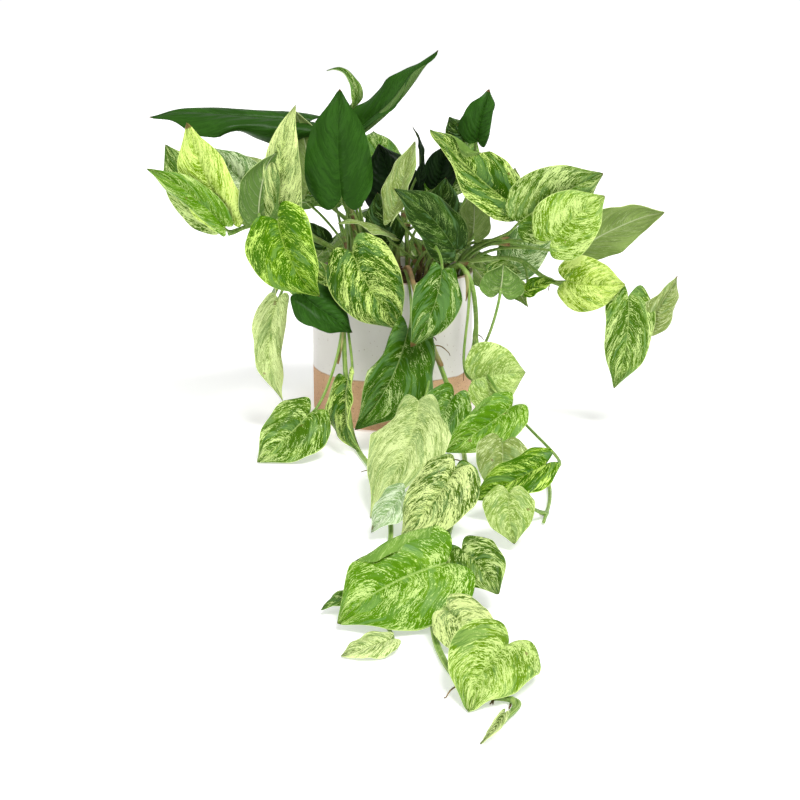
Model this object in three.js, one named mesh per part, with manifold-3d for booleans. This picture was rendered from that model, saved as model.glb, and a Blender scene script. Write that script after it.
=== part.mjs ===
// A potted pothos in a two-tone stoneware pot. Millimetres, +Z up, front towards -Y.
// The origin is the middle of the pot's flat underside, on the surface that the pot stands on.
import * as THREE from "three";
import { mergeVertices } from "three/addons/utils/BufferGeometryUtils.js";
import Module from "manifold-3d";

const wasm = await Module();
wasm.setup();

// Pot
const POT_RADIUS = 75;
const POT_HEIGHT = 137;
const POT_WALL = 4;
const POT_FLOOR = 8;
const FOOT_ROUND = 8;
const LIP_ROUND = 1.6;
const POT_SIDES = 44;

// Soil
const GAP = 0.3;
const SOIL_RADIUS = POT_RADIUS - POT_WALL - 2 * GAP;
const SOIL_EDGE = 126;
const SOIL_SHOULDER = 129;
const SOIL_CROWN = 130;

// Leaf blades: places along the midrib and across the half blade, both from 0 to 1
const LARGE_ROWS = [0, 0.12, 0.3, 0.52, 0.76, 1];
const SMALL_ROWS = [0, 0.16, 0.42, 0.72, 1];
const LARGE_LEAF = 72;
const COLUMNS = [-1, -0.5, 0, 0.5, 1];
const BLADE = 0.9;
const MIDRIB_ROUND = 0.04;
const STALK_END = 0.05;
const REST = 1.2;
const REST_SHARE = 0.1;

// Heart shape: from HEART_FOOT of its full width beside the stalk a blade widens to HEART_WIDEST of
// the length, and draws in from there to the tip, late where HEART_HOLD is high and bluntly where
// HEART_TAPER is low. The lobes beside the stalk reach back by LOBE of the length
const HEART_FOOT = 0.72;
const HEART_WIDEST = 0.24;
const HEART_HOLD = 1.9;
const HEART_TAPER = 0.82;
const LOBE = 0.15;
const LOBE_TURN = 0.85 * Math.PI;
const LOBE_FULLNESS = 0.8;

// The share of the length at which a twisted blade still lies square to its upper side
const TWIST_FREE = 0.3;

// Waved edge: its height by the length, its turns along the blade, and its shift by leaf and by half
const WAVE = 0.03;
const WAVE_TURNS = 13;
const LEAF_SHIFT = 1.7;
const HALF_SHIFT = 2;

// Stems and leaf stalks
const STEM_RADIUS = 2.3;
const STEM_SIDES = 6;
const STEM_STEP = 16;
const ROOT_DEPTH = 22;
const HOLE_PLAY = 1.2;
const HOLE_SIDES = 8;
const HOLE_DEPTH = 34;
const STALK_RADIUS = 1.4;
const STALK_SIDES = 3;
const STALK_STEPS = 4;
const STALK_LEAVE = 0.35;
const STALK_ARRIVE = 0.2;
const STALK_SUNK = BLADE / 4;
const LYING = STEM_RADIUS + 0.4;
const SETTLING = LYING + 1.6;

// Heights at which a stem stands upright: its root end, and just under and over the soil's face
const UPRIGHT = [SOIL_EDGE - ROOT_DEPTH, SOIL_EDGE - 6, SOIL_CROWN + 4];

// The eye that the plant's front is laid out for, in front of the pot at head height of a seated viewer
const EYE = new THREE.Vector3(7, -1200, 350);

const at = (x, y, z) => new THREE.Vector3(x, y, z);

// The point that covers (x, z) of the pot's middle plane when it lies at the depth y
function seen(x, z, y) {
  const nearness = 1 - y / EYE.y;
  return at(EYE.x + (x - EYE.x) * nearness, y, EYE.z + (z - EYE.z) * nearness);
}

// A stem's route from its root end in the soil
function rooted(x, y, ...points) {
  return [...UPRIGHT.map((z) => at(x, y, z)), ...points];
}

const rad = THREE.MathUtils.degToRad;

// Each leaf: its kind, where its stalk leaves the stem (0 root to 1 tip), the blade's base and tip,
// the way its upper side faces, width by length, in degrees how far its right and left half fold up,
// how far it curls and how far it twists, and the share of its length by which it bends sideways.
const STEMS = {
  left_upper: {
    route: rooted(
      -40, -10, at(-50, -18, 155), seen(-88, 172, -38), seen(-122, 180, -46), seen(-153, 170, -52),
    ),
    leaves: [
      ["gold", 0.6, seen(-104, 184, -64), seen(-91, 289, -72), [0.2, -1, 0],
        0.44, [26, 48], 10, -50, 0.05],
      ["pale", 0.7, seen(-124, 186, -84), seen(-109, 248, -82), [-0.3, 0.8, 0.4],
        0.75, [40, 25], 10, 25, -0.05],
      ["gold", 0.88, seen(-153, 187, -70), seen(-188, 272, -78), [-0.3, -0.95, 0.1],
        0.6, [18, 22], -12, 18, 0.05],
      ["marbled", 0.84, seen(-160, 186, -46), seen(-208, 254, -42), [-0.1, -1, 0.1],
        0.62, [10, 10], 10, 25, 0.04],
      ["green", 0.97, seen(-157, 178, -76), seen(-225, 231, -94), [-0.55, -0.55, 0.6],
        0.42, [35, 20], -20, 30, -0.06],
      ["silver", 0.76, seen(-124, 205, -30), seen(-165, 250, -24), [0.1, -0.9, 0.4],
        0.8, [10, 10], 15, -20, 0.04],
      ["olive", 0.58, seen(-104, 203, -16), seen(-137, 245, -10), [-0.2, -0.8, 0.5],
        0.7, [12, 12], 12, 20, 0.03],
    ],
  },
  left_front: {
    route: rooted(-50, -32, at(-58, -48, 146), seen(-84, 148, -74)),
    leaves: [
      ["lime", 0.98, seen(-106, 182, -94), seen(-70, 110, -110), [-0.15, -0.95, 0.3],
        1.0, [6, 40], 10, 12, -0.08],
      ["marbled", 0.8, seen(-90, 140, -62), seen(-66, 94, -74), [0.1, -0.9, 0.3],
        0.8, [10, 10], 8, -20, 0.04],
      ["dark", 0.5, seen(-62, 162, -8), seen(-84, 182, 2), [0, -0.9, 0.4], 0.7, [10, 10], 5, 10, 0.03],
      ["pale", 0.95, seen(-107, 108, -70), seen(-108, 8, -78), [-0.25, -0.95, 0.1],
        0.4, [35, 10], 6, 20, -0.1],
    ],
  },
  left_tall: {
    route: rooted(-30, 2, at(-33, 0, 165), at(-38, -4, 190)),
    leaves: [
      ["solid", 0.95, seen(-76, 274, 12), seen(-222, 284, 2), [0.05, -0.42, 0.9],
        0.56, [-22, 2], 8, 8, 0.02],
      ["solid", 0.75, seen(-47, 206, -44), seen(-47, 303, -36), [0.06, -1, 0.05],
        0.66, [10, 14], -8, 6, 0.03],
      ["solid", 0.95, seen(-44, 284, -6), seen(-60, 321, -12), [0.9, -0.4, 0.2],
        0.5, [40, 40], 120, 20, 0.03],
      ["solid", 0.99, seen(-31, 262, 2), seen(37, 339, -22), [-0.4, -0.75, 0.5],
        0.52, [35, 20], -25, -20, -0.05],
      ["olive", 0.85, seen(-78, 214, -8), seen(-88, 284, 0), [0.2, 0.9, 0.25],
        0.6, [20, 20], 24, 20, 0.04],
    ],
  },
  left_vine: {
    route: rooted(
      -24, -42, at(-34, -64, 150), at(-43, -84, 133), at(-42, -91, 90), at(-40, -95, 50),
      at(-36, -106, 16), at(-30, -128, SETTLING), at(-18, -175, LYING), at(-8, -235, LYING),
      at(0, -300, LYING), at(-2, -360, LYING), at(-14, -405, LYING), at(-8, -452, LYING),
    ),
    leaves: [
      ["gold", 0.1, seen(-37, 152, -88), seen(8, 78, -93), [0.1, -0.95, 0.3],
        0.84, [16, 16], 10, 14, -0.05],
      ["solid", 0.17, seen(-84, 112, -94), seen(-36, 78, -98), [0.15, -0.8, 0.6],
        0.75, [12, 12], 10, -12, -0.04],
      ["marbled", 0.26, at(-38, -104, 56), at(-31, -152, 8), [-0.6, -0.75, 0.3],
        0.66, [20, 45], 14, 30, -0.06],
      ["marbled", 0.34, at(-70, -130, 36), at(-112, -164, 4), [-0.1, -0.8, 0.6],
        0.9, [10, 12], 16, -15, 0.05],
      ["silver", 0.66, at(10, -302, 26), at(-14, -334, 10), [-0.2, -0.6, 0.8],
        0.7, [14, 10], 14, 10, 0.04],
      ["green", 0.86, at(-20, -438, 10), at(-42, -452, 5), [-0.3, -0.3, 0.9],
        0.6, [10, 10], 10, 10, 0.03],
      ["pale", 0.98, at(1, -494, 5), at(-27, -509, 3), [-0.1, -0.3, 0.95], 0.7, [10, 10], 14, -10, 0.05],
    ],
  },
  main_vine: {
    route: rooted(
      8, -46, at(14, -66, 150), at(20, -86, 134), at(30, -93, 100), at(48, -97, 52),
      at(58, -110, 16), at(61, -134, SETTLING), at(60, -190, LYING), at(53, -245, LYING),
      at(44, -305, LYING), at(36, -365, LYING), at(29, -420, LYING), at(27, -470, LYING),
      at(30, -506, LYING), at(40, -540, LYING), at(56, -557, LYING), at(70, -563, LYING), at(60, -588, 5),
    ),
    leaves: [
      ["green", 0.14, seen(14, 79, -104), seen(-36, -20, -142), [-0.2, -0.9, 0.3],
        0.76, [52, 4], 12, -28, 0.08],
      ["pale", 0.27, at(22, -170, 58), at(-14, -294, 9), [-0.15, -0.6, 0.8],
        0.5, [10, 18], 14, -16, 0.06],
      ["green", 0.28, at(52, -150, 56), at(33, -186, 14), [0.1, -0.9, 0.35],
        0.7, [10, 12], 10, 20, -0.06],
      ["green", 0.46, at(50, -250, 28), at(56, -282, 7), [0.1, -0.6, 0.8], 0.78, [10, 10], 10, 15, 0.04],
      ["marbled", 0.55, at(46, -306, 44), at(8, -338, 7), [-0.1, -0.7, 0.7],
        0.8, [12, 12], 12, -18, 0.05],
      ["gold", 0.72, at(35, -446, 32), at(-31, -476, 8), [-0.05, -0.75, 0.65],
        0.98, [8, 14], 12, 12, -0.05],
      ["marbled", 0.73, at(46, -428, 34), at(68, -450, 14), [0.3, -0.7, 0.6],
        1.0, [12, 12], 10, 15, 0.05],
      ["marbled", 0.86, at(36, -484, 18), at(66, -510, 6), [0.1, -0.7, 0.7],
        0.84, [10, 10], 14, -15, -0.05],
      ["lime", 0.9, at(68, -524, 17), at(43, -572, 3), [-0.05, -0.75, 0.6],
        0.92, [14, 14], 14, 18, -0.07],
      ["pale", 0.93, at(60, -586, 8), at(47, -610, 6), [0.1, -0.4, 0.9], 0.34, [60, 50], 10, -12, 0.04],
    ],
  },
  right_vine: {
    route: rooted(
      50, -32, at(60, -44, 148), at(70, -56, 136), at(75, -62, 100), at(72, -70, 60),
      at(78, -86, 20), at(92, -114, SETTLING), at(112, -160, LYING), at(124, -205, LYING),
      at(122, -250, LYING), at(112, -300, LYING),
    ),
    leaves: [
      ["pale", 0.2, seen(103, 112, -86), seen(106, 122, -48), [0, -0.45, 0.9],
        1.0, [10, 10], 20, 10, 0.04],
      ["lime", 0.3, seen(77, 30, -104), seen(127, 37, -92), [-0.1, -1, 0.2], 1.3, [8, 14], 14, 10, 0.03],
      ["green", 0.48, at(98, -174, 54), at(42, -206, 26), [0, -0.55, 0.8], 0.74, [30, 20], 16, -24, 0.05],
      ["olive", 0.62, at(86, -236, 42), at(80, -264, 9), [0.1, -0.7, 0.7], 1.0, [10, 10], 12, 15, 0.04],
      ["green", 0.44, at(114, -284, 42), at(58, -292, 18), [0, -0.5, 0.85],
        0.62, [28, 16], 12, -22, 0.05],
      ["pale", 0.97, at(84, -326, 34), at(86, -352, 7), [0.1, -0.7, 0.7], 1.0, [10, 10], 12, 14, -0.05],
    ],
  },
  right_arch: {
    route: rooted(
      46, -12, at(64, -20, 146), seen(116, 146, -34), seen(142, 129, -38), seen(164, 120, -40),
      seen(216, 111, -44), seen(242, 93, -48),
    ),
    leaves: [
      ["silver", 0.42, seen(112, 138, -8), seen(150, 182, 4), [0.1, -0.9, 0.4],
        0.75, [10, 10], 12, 20, 0.04],
      ["lime", 0.66, seen(163, 126, -54), seen(218, 123, -66), [0.1, -0.95, 0.2],
        1.0, [12, 12], 12, -18, -0.06],
      ["marbled", 0.86, seen(221, 110, -58), seen(211, 20, -64), [0.1, -1, 0.1],
        0.56, [16, 16], 8, 16, 0.05],
      ["olive", 0.99, seen(243, 84, -54), seen(268, 130, -48), [0.7, -0.2, 0.4],
        0.7, [50, 40], 30, 50, 0.06],
      ["marbled", 0.36, seen(90, 136, -48), seen(120, 134, -58), [0, -0.7, 0.7],
        0.7, [10, 10], 10, 15, 0.05],
      ["lime", 0.52, seen(126, 116, -60), seen(152, 126, -72), [0, -0.8, 0.6],
        0.6, [12, 12], 10, -15, 0.05],
    ],
  },
  right_upper: {
    route: rooted(36, 8, at(50, 6, 160), at(74, 2, 180), at(94, -6, 196)),
    leaves: [
      ["solid", 0.75, seen(78, 256, -6), seen(90, 302, -14), [0.2, -0.9, 0.3],
        0.8, [30, 12], 10, 25, 0.05],
      ["dark", 0.7, seen(66, 256, 6), seen(52, 278, 8), [-0.2, -0.9, 0.3], 0.9, [10, 10], 10, 15, 0.04],
      ["lime", 0.97, seen(108, 200, -32), seen(40, 269, -48), [0.25, -0.85, 0.4],
        0.66, [12, 34], -14, 26, 0.04],
      ["olive", 0.9, seen(102, 202, -8), seen(112, 232, -16), [-0.2, 0.9, 0.3],
        0.95, [25, 25], 10, 25, 0.05],
      ["olive", 0.5, seen(74, 168, -30), seen(74, 208, -22), [-0.2, 0.9, 0.3],
        0.85, [14, 14], 5, -25, 0.05],
    ],
  },
  right_mid: {
    route: rooted(60, 6, at(78, -4, 160), at(100, -26, 168)),
    leaves: [
      ["marbled", 0.95, seen(118, 181, -60), seen(195, 226, -64), [0.1, -0.95, 0.3],
        0.74, [10, 14], 10, 14, -0.05],
      ["lime", 0.99, seen(148, 164, -78), seen(196, 206, -84), [0.1, -0.95, 0.3],
        1.0, [14, 14], 12, -12, 0.04],
      ["olive", 0.85, seen(176, 158, -24), seen(251, 192, -20), [0, 0.9, 0.4],
        0.62, [10, 10], 10, -12, -0.03],
    ],
  },
  centre_dark: {
    route: rooted(4, 10, at(6, 12, 165), at(12, 14, 190)),
    leaves: [
      ["dark", 0.9, seen(8, 198, 14), seen(-12, 254, 22), [0, -0.95, 0.3], 0.95, [10, 10], 10, 15, 0.03],
      ["dark", 0.95, seen(42, 216, 14), seen(52, 254, 16), [0.1, -0.95, 0.2],
        0.8, [10, 10], 10, -15, 0.03],
      ["dark", 0.85, seen(46, 176, -1), seen(50, 222, -5), [0.1, -0.95, 0.3],
        0.8, [10, 10], 10, 12, 0.03],
      ["dark", 0.7, seen(-2, 165, -8), seen(-14, 208, -12), [0, -0.95, 0.3], 0.8, [10, 10], 8, -12, 0.03],
      ["dark", 0.97, seen(25, 222, 2), seen(22, 270, -2), [0.8, -0.3, 0.2], 0.45, [30, 30], 20, 40, 0.04],
    ],
  },
  centre_front: {
    route: rooted(24, -20, at(26, -24, 150), at(30, -30, 165)),
    leaves: [
      ["dark", 0.95, seen(58, 156, -50), seen(3, 213, -62), [0.1, -0.9, 0.4],
        0.58, [10, 16], 12, 18, -0.05],
      ["olive", 0.8, seen(2, 186, -58), seen(21, 256, -52), [-0.6, -0.7, 0.2],
        0.5, [40, 30], -14, 55, 0.05],
      ["olive", 0.6, seen(-2, 168, -46), seen(-50, 184, -62), [0, -0.15, 1],
        0.55, [10, 10], 14, 10, -0.05],
      ["marbled", 0.97, seen(46, 136, -114), seen(18, 62, -140), [0.05, -0.97, 0.2],
        0.62, [14, 14], 8, -14, -0.05],
    ],
  },
};

// The plant's far side, by a rule: leaves hang over the rim, lean out above it or stand, in turn.
// Sway makes neighbours differ in place, length, lean and width.
const SWAY_STEP = 2.4;
const SWAY = { out: 6, up: 8, lean: 0.3, face: 0.2, length: 0.12, width: 0.08, twist: 24, bend: 0.05 };
const POSES = [
  { reach: 94, lift: 150, length: 84, drop: -0.95, face: 0.75, kind: "marbled" },
  { reach: 84, lift: 188, length: 72, drop: -0.2, face: 0.35, kind: "green" },
  { reach: 52, lift: 200, length: 66, drop: 1.1, face: -0.5, kind: "dark" },
];

function farLeaves(count, firstTurn, lastTurn) {
  return Array.from({ length: count }, (_, i) => {
    const share = (i + 0.5) / count;
    const { reach, lift, length, drop, face, kind } = POSES[i % POSES.length];
    const turn = rad(firstTurn + (lastTurn - firstTurn) * share);
    const sway = Math.sin(SWAY_STEP * i + firstTurn);
    const out = at(Math.cos(turn), Math.sin(turn), 0);
    const side = at(-out.y, out.x, 0);
    const base = out.clone().multiplyScalar(reach + SWAY.out * sway).setZ(lift + SWAY.up * sway);
    const way = out.clone().setZ(drop).addScaledVector(side, SWAY.lean * sway).normalize();
    const tip = base.clone().addScaledVector(way, length * (1 + SWAY.length * sway));
    const upper = out.clone().multiplyScalar(face).addScaledVector(side, -SWAY.face * sway).setZ(0.8);
    const wide = 0.74 + SWAY.width * sway;
    const shape = [wide, [12, 14], 16, SWAY.twist * sway, SWAY.bend * sway];
    return [kind, 0.55 + 0.4 * share, base, tip, upper.toArray(), ...shape];
  });
}

STEMS.back_left = {
  route: rooted(-40, 22, at(-44, 26, 156), at(-50, 32, 176)),
  leaves: farLeaves(5, 162, 126),
};
STEMS.back_centre = {
  route: rooted(-6, 44, at(-6, 48, 156), at(-4, 54, 176)),
  leaves: farLeaves(5, 116, 66),
};
STEMS.back_right = {
  route: rooted(36, 34, at(40, 38, 156), at(46, 42, 176)),
  leaves: farLeaves(5, 54, 14),
};

function solidOf(geometry) {
  geometry.deleteAttribute("normal");
  geometry.deleteAttribute("uv");
  const merged = mergeVertices(geometry, 1e-4);
  const triVerts = new Uint32Array(merged.index.array);
  const vertProperties = new Float32Array(merged.attributes.position.array);
  return new wasm.Manifold(new wasm.Mesh({ numProp: 3, vertProperties, triVerts }));
}

function geometryOf(solid) {
  const { numProp, vertProperties, triVerts } = solid.getMesh();
  const places = new Float32Array((vertProperties.length / numProp) * 3);
  for (let i = 0; i * numProp < vertProperties.length; i++) {
    places.set(vertProperties.subarray(i * numProp, i * numProp + 3), i * 3);
  }
  const geometry = new THREE.BufferGeometry();
  geometry.setAttribute("position", new THREE.BufferAttribute(places, 3));
  geometry.setIndex(new THREE.BufferAttribute(new Uint32Array(triVerts), 1));
  geometry.computeVertexNormals();
  return geometry;
}

function rod(curve, radius, sides, steps) {
  const corners = Array.from({ length: sides }, (_, i) => {
    const turn = (2 * Math.PI * i) / sides;
    return new THREE.Vector2(radius * Math.cos(turn), radius * Math.sin(turn));
  });
  const section = new THREE.Shape(corners);
  return solidOf(new THREE.ExtrudeGeometry(section, { extrudePath: curve, steps, curveSegments: 1 }));
}

// A blade's frame: along its midrib, across it, and out of its upper side
function frameOf([, , base, tip, face]) {
  const along = tip.clone().sub(base);
  const length = along.length();
  along.normalize();
  const out = new THREE.Vector3(...face);
  out.addScaledVector(along, -out.dot(along)).normalize();
  const across = out.clone().cross(along);
  return { length, along, across, out };
}

// The share of its full width that a blade has at t along the midrib
function heart(t) {
  if (t < HEART_WIDEST) {
    return 1 - (1 - HEART_FOOT) * Math.pow(1 - t / HEART_WIDEST, 2);
  }
  return Math.pow(1 - Math.pow((t - HEART_WIDEST) / (1 - HEART_WIDEST), HEART_HOLD), HEART_TAPER);
}

// The middle surface of a blade at t along the midrib and u across it, -1 to 1
function bladePoint(leaf, order, t, u) {
  const [, , base, , , wide, fold, curlDegrees, twistDegrees, bend] = leaf;
  const { length, along, across, out } = frameOf(leaf);
  const curl = rad(curlDegrees);
  const arc = length * (curl / 2) / Math.sin(curl / 2);
  const side = Math.abs(u);
  const spread = heart(t);
  const lobe = LOBE * Math.pow(1 - t, 3) * Math.pow(Math.sin(LOBE_TURN * side), LOBE_FULLNESS);
  const reach = (wide * length * spread * side) / 2;
  const hinge = rad(fold[u < 0 ? 0 : 1]);
  const soft = MIDRIB_ROUND * length;
  const phase = WAVE_TURNS * t + LEAF_SHIFT * order + (u < 0 ? 0 : HALF_SHIFT);
  const ripple = WAVE * length * spread * Math.pow(side, 3) * Math.sin(phase);
  const lift = Math.sin(hinge) * (Math.hypot(reach, soft) - soft) + ripple;
  const twist = rad(twistDegrees) * (t - TWIST_FREE);
  const flat = Math.sign(u) * reach * Math.cos(hinge);
  const aside = flat * Math.cos(twist) - lift * Math.sin(twist);
  const raised = flat * Math.sin(twist) + lift * Math.cos(twist);
  const slope = curl / 2 - curl * (t - lobe);
  const run = (arc / curl) * (Math.sin(curl / 2) - Math.sin(slope));
  const rise = (arc / curl) * (Math.cos(slope) - Math.cos(curl / 2));
  const point = base
    .clone()
    .addScaledVector(along, run - raised * Math.sin(slope))
    .addScaledVector(out, rise + raised * Math.cos(slope))
    .addScaledVector(across, aside + bend * length * 4 * t * (1 - t));
  // Where a blade reaches the surface below the pot it bends to lie along it
  if (point.z < REST) point.z = REST + REST_SHARE * (point.z - REST);
  return point;
}

function bladeSolid(leaf, order) {
  const rows = frameOf(leaf).length > LARGE_LEAF ? LARGE_ROWS : SMALL_ROWS;
  const inner = rows.slice(0, -1);
  const middle = inner.flatMap((t) => COLUMNS.map((u) => bladePoint(leaf, order, t, u)));
  const tipIndex = middle.length;
  middle.push(bladePoint(leaf, order, 1, 0));
  const width = COLUMNS.length;
  const upper = [];
  for (let row = 0; row < inner.length; row++) {
    for (let column = 0; column < width - 1; column++) {
      const here = row * width + column;
      if (row === inner.length - 1) {
        upper.push([here, tipIndex, here + 1]);
        continue;
      }
      upper.push([here, here + width, here + width + 1], [here, here + width + 1, here + 1]);
    }
  }
  const normals = middle.map(() => new THREE.Vector3());
  for (const [a, b, c] of upper) {
    const edge = middle[b].clone().sub(middle[a]);
    const turn = edge.cross(middle[c].clone().sub(middle[a]));
    for (const corner of [a, b, c]) normals[corner].add(turn);
  }
  const count = middle.length;
  const places = [1, -1].flatMap((side) =>
    middle.flatMap((point, i) => {
      const push = (side * BLADE) / 2;
      return point.clone().addScaledVector(normals[i].clone().normalize(), push).toArray();
    }),
  );
  const index = [];
  for (const [a, b, c] of upper) index.push(a, b, c, a + count, c + count, b + count);
  const edges = new Map();
  for (const face of upper) {
    face.forEach((from, k) => {
      const to = face[(k + 1) % 3];
      if (!edges.delete(to + "," + from)) edges.set(from + "," + to, [from, to]);
    });
  }
  for (const [from, to] of edges.values()) {
    index.push(from, from + count, to + count, from, to + count, to);
  }
  const geometry = new THREE.BufferGeometry();
  geometry.setAttribute("position", new THREE.Float32BufferAttribute(places, 3));
  geometry.setIndex(index);
  return solidOf(geometry);
}

// A leaf stalk from the stem to a little way under the midrib
function stalkSolid(leaf, order, stem) {
  const { along, out } = frameOf(leaf);
  const root = stem.getPoint(leaf[1]);
  const end = bladePoint(leaf, order, STALK_END, 0).addScaledVector(out, -STALK_SUNK);
  const far = root.distanceTo(end);
  const leave = stem.getTangent(leaf[1]).add(end.clone().sub(root).normalize()).normalize();
  const first = root.clone().addScaledVector(leave, STALK_LEAVE * far);
  const last = end.clone().addScaledVector(along.add(out), -STALK_ARRIVE * far);
  const curve = new THREE.CubicBezierCurve3(root, first, last, end);
  return rod(curve, STALK_RADIUS, STALK_SIDES, STALK_STEPS);
}

// The largest body of a solid, without the scraps and sealed hollows that fusing leaves
function largestBody(solid) {
  return solid.decompose().reduce((best, body) => (body.volume() > best.volume() ? body : best));
}

function leafyStem({ route, leaves }) {
  const stem = new THREE.CatmullRomCurve3(route, false, "centripetal");
  const steps = Math.max(8, Math.round(stem.getLength() / STEM_STEP));
  let whole = rod(stem, STEM_RADIUS, STEM_SIDES, steps);
  leaves.forEach((leaf, order) => {
    whole = whole.add(stalkSolid(leaf, order, stem)).add(bladeSolid(leaf, order));
  });
  return largestBody(whole);
}

function potGeometry() {
  const inner = POT_RADIUS - POT_WALL;
  const arc = (cx, cz, radius, from, to, steps) =>
    Array.from({ length: steps + 1 }, (_, i) => {
      const turn = rad(from + ((to - from) * i) / steps);
      return new THREE.Vector2(cx + radius * Math.cos(turn), cz + radius * Math.sin(turn));
    });
  const profile = [
    new THREE.Vector2(0, 0),
    ...arc(POT_RADIUS - FOOT_ROUND, FOOT_ROUND, FOOT_ROUND, -90, 0, 4),
    ...arc(POT_RADIUS - LIP_ROUND, POT_HEIGHT - LIP_ROUND, LIP_ROUND, 0, 90, 2),
    ...arc(inner + LIP_ROUND, POT_HEIGHT - LIP_ROUND, LIP_ROUND, 90, 180, 2),
    new THREE.Vector2(inner, POT_FLOOR),
    new THREE.Vector2(0, POT_FLOOR),
  ];
  return new THREE.LatheGeometry(profile, POT_SIDES).rotateX(Math.PI / 2);
}

// The soil fills the pot, with a plain hole for the root end of each stem
function soilSolid() {
  const profile = [
    new THREE.Vector2(0, POT_FLOOR + GAP),
    new THREE.Vector2(SOIL_RADIUS, POT_FLOOR + GAP),
    new THREE.Vector2(SOIL_RADIUS, SOIL_EDGE),
    new THREE.Vector2(0.8 * SOIL_RADIUS, SOIL_SHOULDER),
    new THREE.Vector2(0, SOIL_CROWN),
  ];
  let soil = solidOf(new THREE.LatheGeometry(profile, POT_SIDES).rotateX(Math.PI / 2));
  for (const { route } of Object.values(STEMS)) {
    const [root] = route;
    const radius = STEM_RADIUS + HOLE_PLAY;
    const hole = new THREE.CylinderGeometry(radius, radius, HOLE_DEPTH, HOLE_SIDES);
    hole.rotateX(Math.PI / 2).translate(root.x, root.y, root.z - GAP + HOLE_DEPTH / 2);
    soil = soil.subtract(solidOf(hole));
  }
  return soil;
}

const clay = new THREE.MeshStandardMaterial({ color: "#dcd8cf", roughness: 0.45, metalness: 0 });
const earth = new THREE.MeshStandardMaterial({ color: "#2e241c", roughness: 0.95, metalness: 0 });
const foliage = new THREE.MeshStandardMaterial({ color: "#7fa545", roughness: 0.4, metalness: 0 });

function piece(name, geometry, material) {
  const mesh = new THREE.Mesh(geometry, material);
  mesh.name = name;
  return mesh;
}

const plant = new THREE.Group();
const pot = potGeometry();
plant.add(piece("pot", geometryOf(solidOf(pot)), clay));
plant.add(piece("soil", geometryOf(soilSolid()), earth));
for (const [name, stem] of Object.entries(STEMS)) {
  plant.add(piece("leafy_stem_" + name, geometryOf(leafyStem(stem)), foliage));
}

export default plant;
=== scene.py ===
# %% [markdown]
# A pothos grown long in a straight stoneware pot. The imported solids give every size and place.
# This lesson dresses them: blades with veins and marbling, stems with joints, brown sheaths and
# roots, a glazed pot and loose soil. We begin by loading the solids and noting how far they reach.

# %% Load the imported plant
import math
import random

import bmesh
import bpy
from mathutils import Matrix, Vector, noise


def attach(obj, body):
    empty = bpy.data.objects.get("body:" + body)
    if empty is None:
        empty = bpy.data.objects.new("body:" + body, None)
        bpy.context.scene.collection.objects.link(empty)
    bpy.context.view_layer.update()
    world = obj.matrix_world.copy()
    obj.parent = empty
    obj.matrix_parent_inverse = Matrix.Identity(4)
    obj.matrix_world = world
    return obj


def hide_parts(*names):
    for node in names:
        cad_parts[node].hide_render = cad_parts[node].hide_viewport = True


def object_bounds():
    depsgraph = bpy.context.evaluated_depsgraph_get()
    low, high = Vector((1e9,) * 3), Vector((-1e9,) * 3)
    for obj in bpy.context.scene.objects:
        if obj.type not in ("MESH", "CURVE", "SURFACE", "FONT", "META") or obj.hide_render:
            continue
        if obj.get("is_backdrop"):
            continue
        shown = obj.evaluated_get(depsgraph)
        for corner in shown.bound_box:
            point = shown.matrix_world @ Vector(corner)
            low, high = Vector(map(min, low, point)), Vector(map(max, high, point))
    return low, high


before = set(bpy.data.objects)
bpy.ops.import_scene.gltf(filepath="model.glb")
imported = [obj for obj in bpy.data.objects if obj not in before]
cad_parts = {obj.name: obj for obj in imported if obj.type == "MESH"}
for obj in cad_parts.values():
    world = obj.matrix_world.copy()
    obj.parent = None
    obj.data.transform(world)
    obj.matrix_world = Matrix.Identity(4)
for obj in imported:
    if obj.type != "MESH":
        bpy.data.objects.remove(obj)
solid_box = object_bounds()
MM = 0.001
print("solid nodes:", len(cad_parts), "reach:", [round(float(c), 3) for p in solid_box for c in p])

# %% [markdown]
# The camera comes first. The plant's front was laid out for an eye 1.2 m before the pot and
# 0.35 m up, looking 12 degrees down, so that is where the camera stands. A long lens keeps the
# pot's sides upright, and a small shift moves the frame down to take in the trailing vine.

# %% Camera
EYE = Vector((7, -1200, 350)) * MM
LOOK_DOWN, FOCAL, SHIFT = 12, 58.69, -0.1087
lens = bpy.data.cameras.new("camera")
lens.sensor_width = 36
lens.lens = FOCAL
lens.shift_y = SHIFT
camera = bpy.data.objects.new("camera", lens)
camera.location = EYE
camera.rotation_euler = (math.radians(90 - LOOK_DOWN), 0, 0)
bpy.context.scene.collection.objects.link(camera)
bpy.context.scene.camera = camera
bpy.context.scene.view_settings.view_transform = "Standard"
print("camera at", [round(c, 3) for c in EYE], "lens", lens.lens)

# %% [markdown]
# Colours and patterns need arithmetic on sockets. A shader graph is easier to read as a formula,
# so a small class wraps a socket and turns +, -, * and / into Math nodes. Any other node is made
# by one function, node, which sets its settings first and then its inputs.

# %% A socket that does arithmetic
class Flow:
    def __init__(self, tree, socket):
        self.tree = tree
        self.socket = socket

    def math(self, operation, *others):
        values = dict(enumerate((self, *others)))
        return node(self.tree, "ShaderNodeMath", dict(operation=operation), values)()

    def __add__(self, other): return self.math("ADD", other)
    def __radd__(self, other): return self.math("ADD", other)
    def __mul__(self, other): return self.math("MULTIPLY", other)
    def __sub__(self, other): return self.math("SUBTRACT", other)
    def __rsub__(self, other): return Flow.math(self * -1, "ADD", other)
    def __truediv__(self, other): return self.math("DIVIDE", other)
    def __pow__(self, other): return self.math("POWER", other)
    def __abs__(self): return self.math("ABSOLUTE")


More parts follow.
